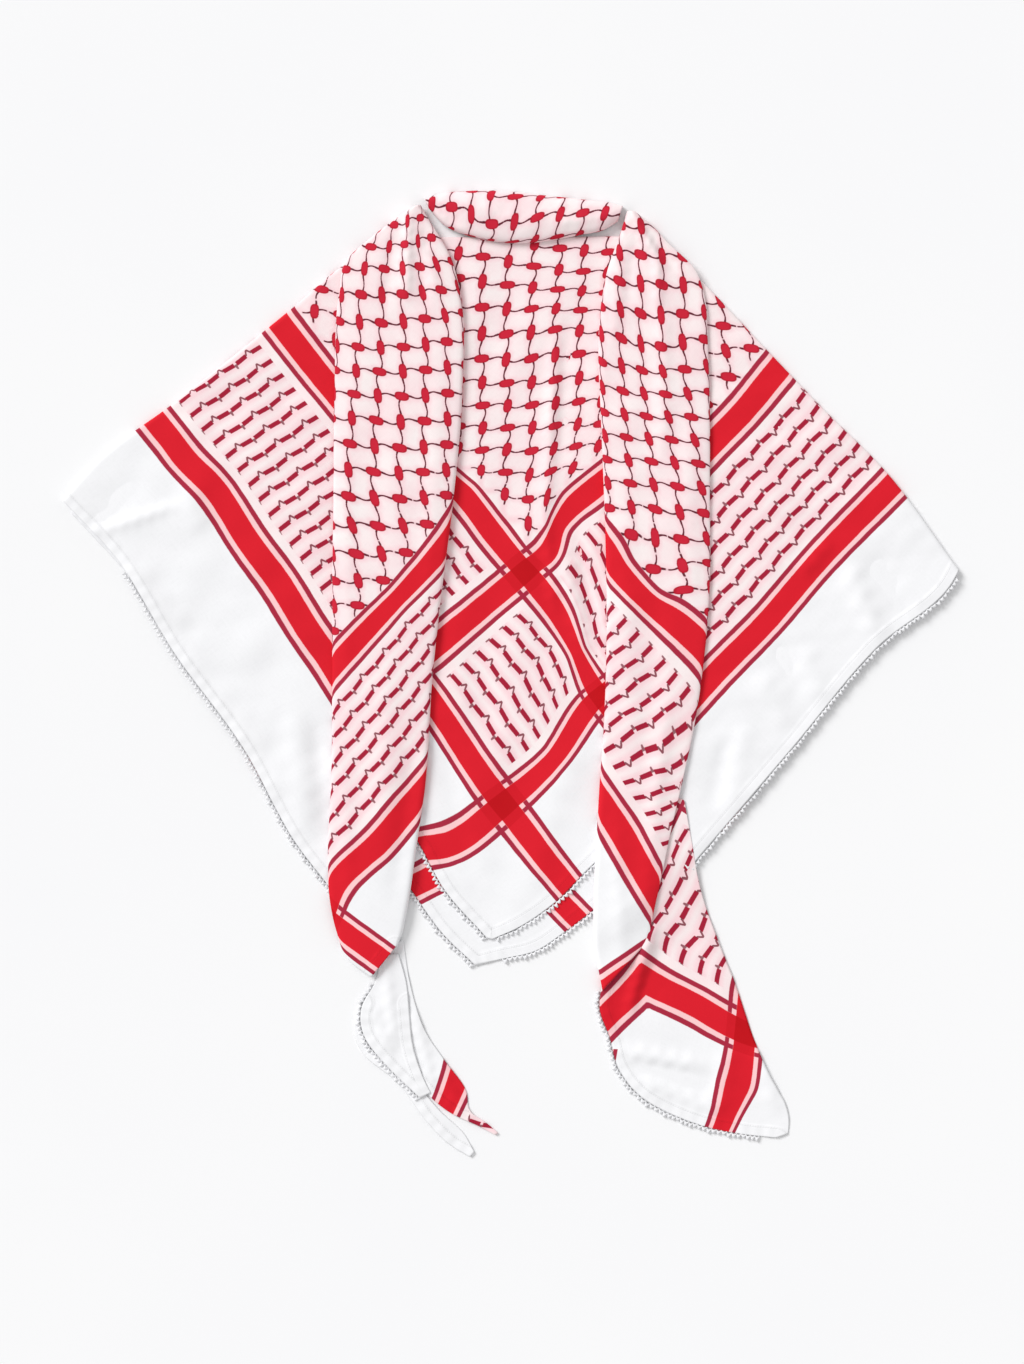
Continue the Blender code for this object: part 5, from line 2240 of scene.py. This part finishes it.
class Studio:
    """A plain pale floor under soft daylight, and the camera above it."""

    def __init__(self, sizes: StudioSizes = StudioSizes()) -> None:
        """Keep the sizes.

        Args:
            sizes: where everything stands.
        """
        self.sizes = sizes

    def build(self) -> None:
        """Make the floor, the key light, the sky and the camera."""
        self.floor()
        self.key()
        world = bpy.data.worlds.new("studio")
        bpy.context.scene.world = world
        world.use_nodes = True
        sky = world.node_tree.nodes["Background"]
        sky.inputs["Color"].default_value = (1.0, 1.0, 1.0, 1.0)
        sky.inputs["Strength"].default_value = self.sizes.world
        bpy.context.scene.view_settings.view_transform = "Standard"
        self.camera()
        LOG.info("studio: floor, key light, sky and the camera")

    def floor(self) -> None:
        """A pale matt floor with a faint unevenness of tone."""
        half = self.sizes.floor / 2.0
        mesh = bpy.data.meshes.new("floor")
        corners = [(-half, -half, 0.0), (half, -half, 0.0), (half, half, 0.0), (-half, half, 0.0)]
        mesh.from_pydata(corners, [], [(0, 1, 2, 3)])
        piece = bpy.data.objects.new("floor", mesh)
        bpy.context.scene.collection.objects.link(piece)
        material = bpy.data.materials.new("floor_paper")
        material.use_nodes = True
        tree = material.node_tree
        surface = tree.nodes["Principled BSDF"]
        surface.inputs["Roughness"].default_value = 0.9
        surface.inputs["Specular IOR Level"].default_value = 0.1
        place = tree.nodes.new("ShaderNodeTexCoord").outputs["Object"]
        cloud = noise(tree, place, (3.0, 3.0, 3.0), 2.0)
        tree.links.new(mix(tree, cloud, (246, 246, 248), (250, 250, 250)), surface.inputs["Base Color"])
        mesh.materials.append(material)

    def key(self) -> None:
        """One wide soft light from the upper left, far away, so that it is even."""
        sizes = self.sizes
        data = bpy.data.lights.new("key", "SUN")
        data.energy = sizes.key
        data.angle = sizes.key_spread
        lamp = bpy.data.objects.new("key", data)
        lamp.rotation_euler = (sizes.key_tilt, 0.0, sizes.key_turn + math.pi / 2.0)
        bpy.context.scene.collection.objects.link(lamp)

    def camera(self) -> None:
        """A camera straight above, as high as its lens needs for the height it sees."""
        sizes = self.sizes
        data = bpy.data.cameras.new("camera")
        data.lens = sizes.lens
        data.sensor_width = sizes.sensor
        data.dof.use_dof = False
        camera = bpy.data.objects.new("camera", data)
        camera.location = (*sizes.centre, sizes.seen_height * sizes.lens / sizes.sensor)
        bpy.context.scene.collection.objects.link(camera)
        bpy.context.scene.camera = camera


class Headscarf:
    """The whole object: every stretch of cloth and its edgings."""

    HEM_DROP = 0.0004
    LEFT_END_LEVEL = 0.0022
    RIGHT_END_LEVEL = 0.0010

    def __init__(self) -> None:
        """Make the shared materials and name the stretches."""
        self.wardrobe = Wardrobe()
        kinds = (
            BackLining, BackPanel, LeftFlap, RightFlap, LeftTurnedIn, RightTurnedIn, RightEnd,
            TipBack, TipStrip, LeftEnd, LeftTail, RightTail, NeckLining, NeckRoll,
        )
        self.sheets = {kind.name: kind(self.wardrobe) for kind in kinds}
        self.edgings: list[PicotEdging] = []

    def build(self) -> None:
        """Build and dress every sheet, then its edgings."""
        for sheet in self.sheets.values():
            sheet.build().dress()
        material = self.wardrobe.crochet("crochet_thread")
        for name, node, sheet, rail, level in self.hems():
            edging = PicotEdging(name, node, self.sheets[sheet], rail, level)
            self.edgings.append(edging.build().dress(material))
        for sheet in self.sheets.values():
            sheet.declare([e.piece for e in self.edgings if e.sheet is sheet])

    def hems(self) -> list[tuple]:
        """The hems that show, each with its node, its sheet, its line and its height.

        Returns:
            Rows of name, node, sheet name, line, height.
        """
        found = []
        for sheet, table, node, least, most, layer, turn in (
            ("back_panel", TOP_HEM_LEFT, "back_top_left_edging", -0.100, -0.020, Layer.TOP, -1),
            ("back_panel", TOP_HEM_RIGHT, "back_top_right_edging", -0.014, 0.085, Layer.TOP, 1),
            ("back_lining", UNDER_HEM_LEFT, "back_under_left_edging", -0.105, -0.031, Layer.UNDER, -1),
            ("back_lining", UNDER_HEM_RIGHT, "back_under_right_edging", -0.009, 0.085, Layer.UNDER, 1),
            ("left_flap", LEFT_FLAP_HEM, "left_wing_edging", -0.346, -0.155, Layer.WING, -1),
            ("right_flap", RIGHT_FLAP_HEM, "right_wing_edging", 0.160, 0.400, Layer.WING, 1),
        ):
            line = resample(table, 400)
            line = line[(line[:, 0] > least) & (line[:, 0] < most)]
            if turn < 0:
                line = line[::-1]
            if layer is Layer.WING:
                level = layer_top(layer, line[:, 0], line[:, 1])
            else:
                level = np.full(len(line), layer.value * CLOTH.pitch + CLOTH.wall)
            found.append((node.replace("_edging", "_picots"), node, sheet, line, level - self.HEM_DROP))
        left = resample(LEFT_TAIL_END, 200)[40:, 0:2][::-1]
        level = np.full(len(left), self.LEFT_END_LEVEL)
        found.append(("left_tail_picots", "left_tail_end_edging", "left_tail_panel", left, level))
        right = resample(RIGHT_TAIL_END, 400)[200:-12, 0:2][::-1]
        level = np.full(len(right), self.RIGHT_END_LEVEL)
        found.append(("right_tail_picots", "right_tail_end_edging", "right_tail_corner", right, level))
        return found


def main() -> None:
    """Load the frame, build the scarf on it, then the studio."""
    logging.basicConfig(level=logging.INFO, format="%(message)s")
    for old in list(bpy.data.objects):
        bpy.data.objects.remove(old, do_unlink=True)
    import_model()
    Headscarf().build()
    Studio().build()


if __name__ == "__main__":
    main()
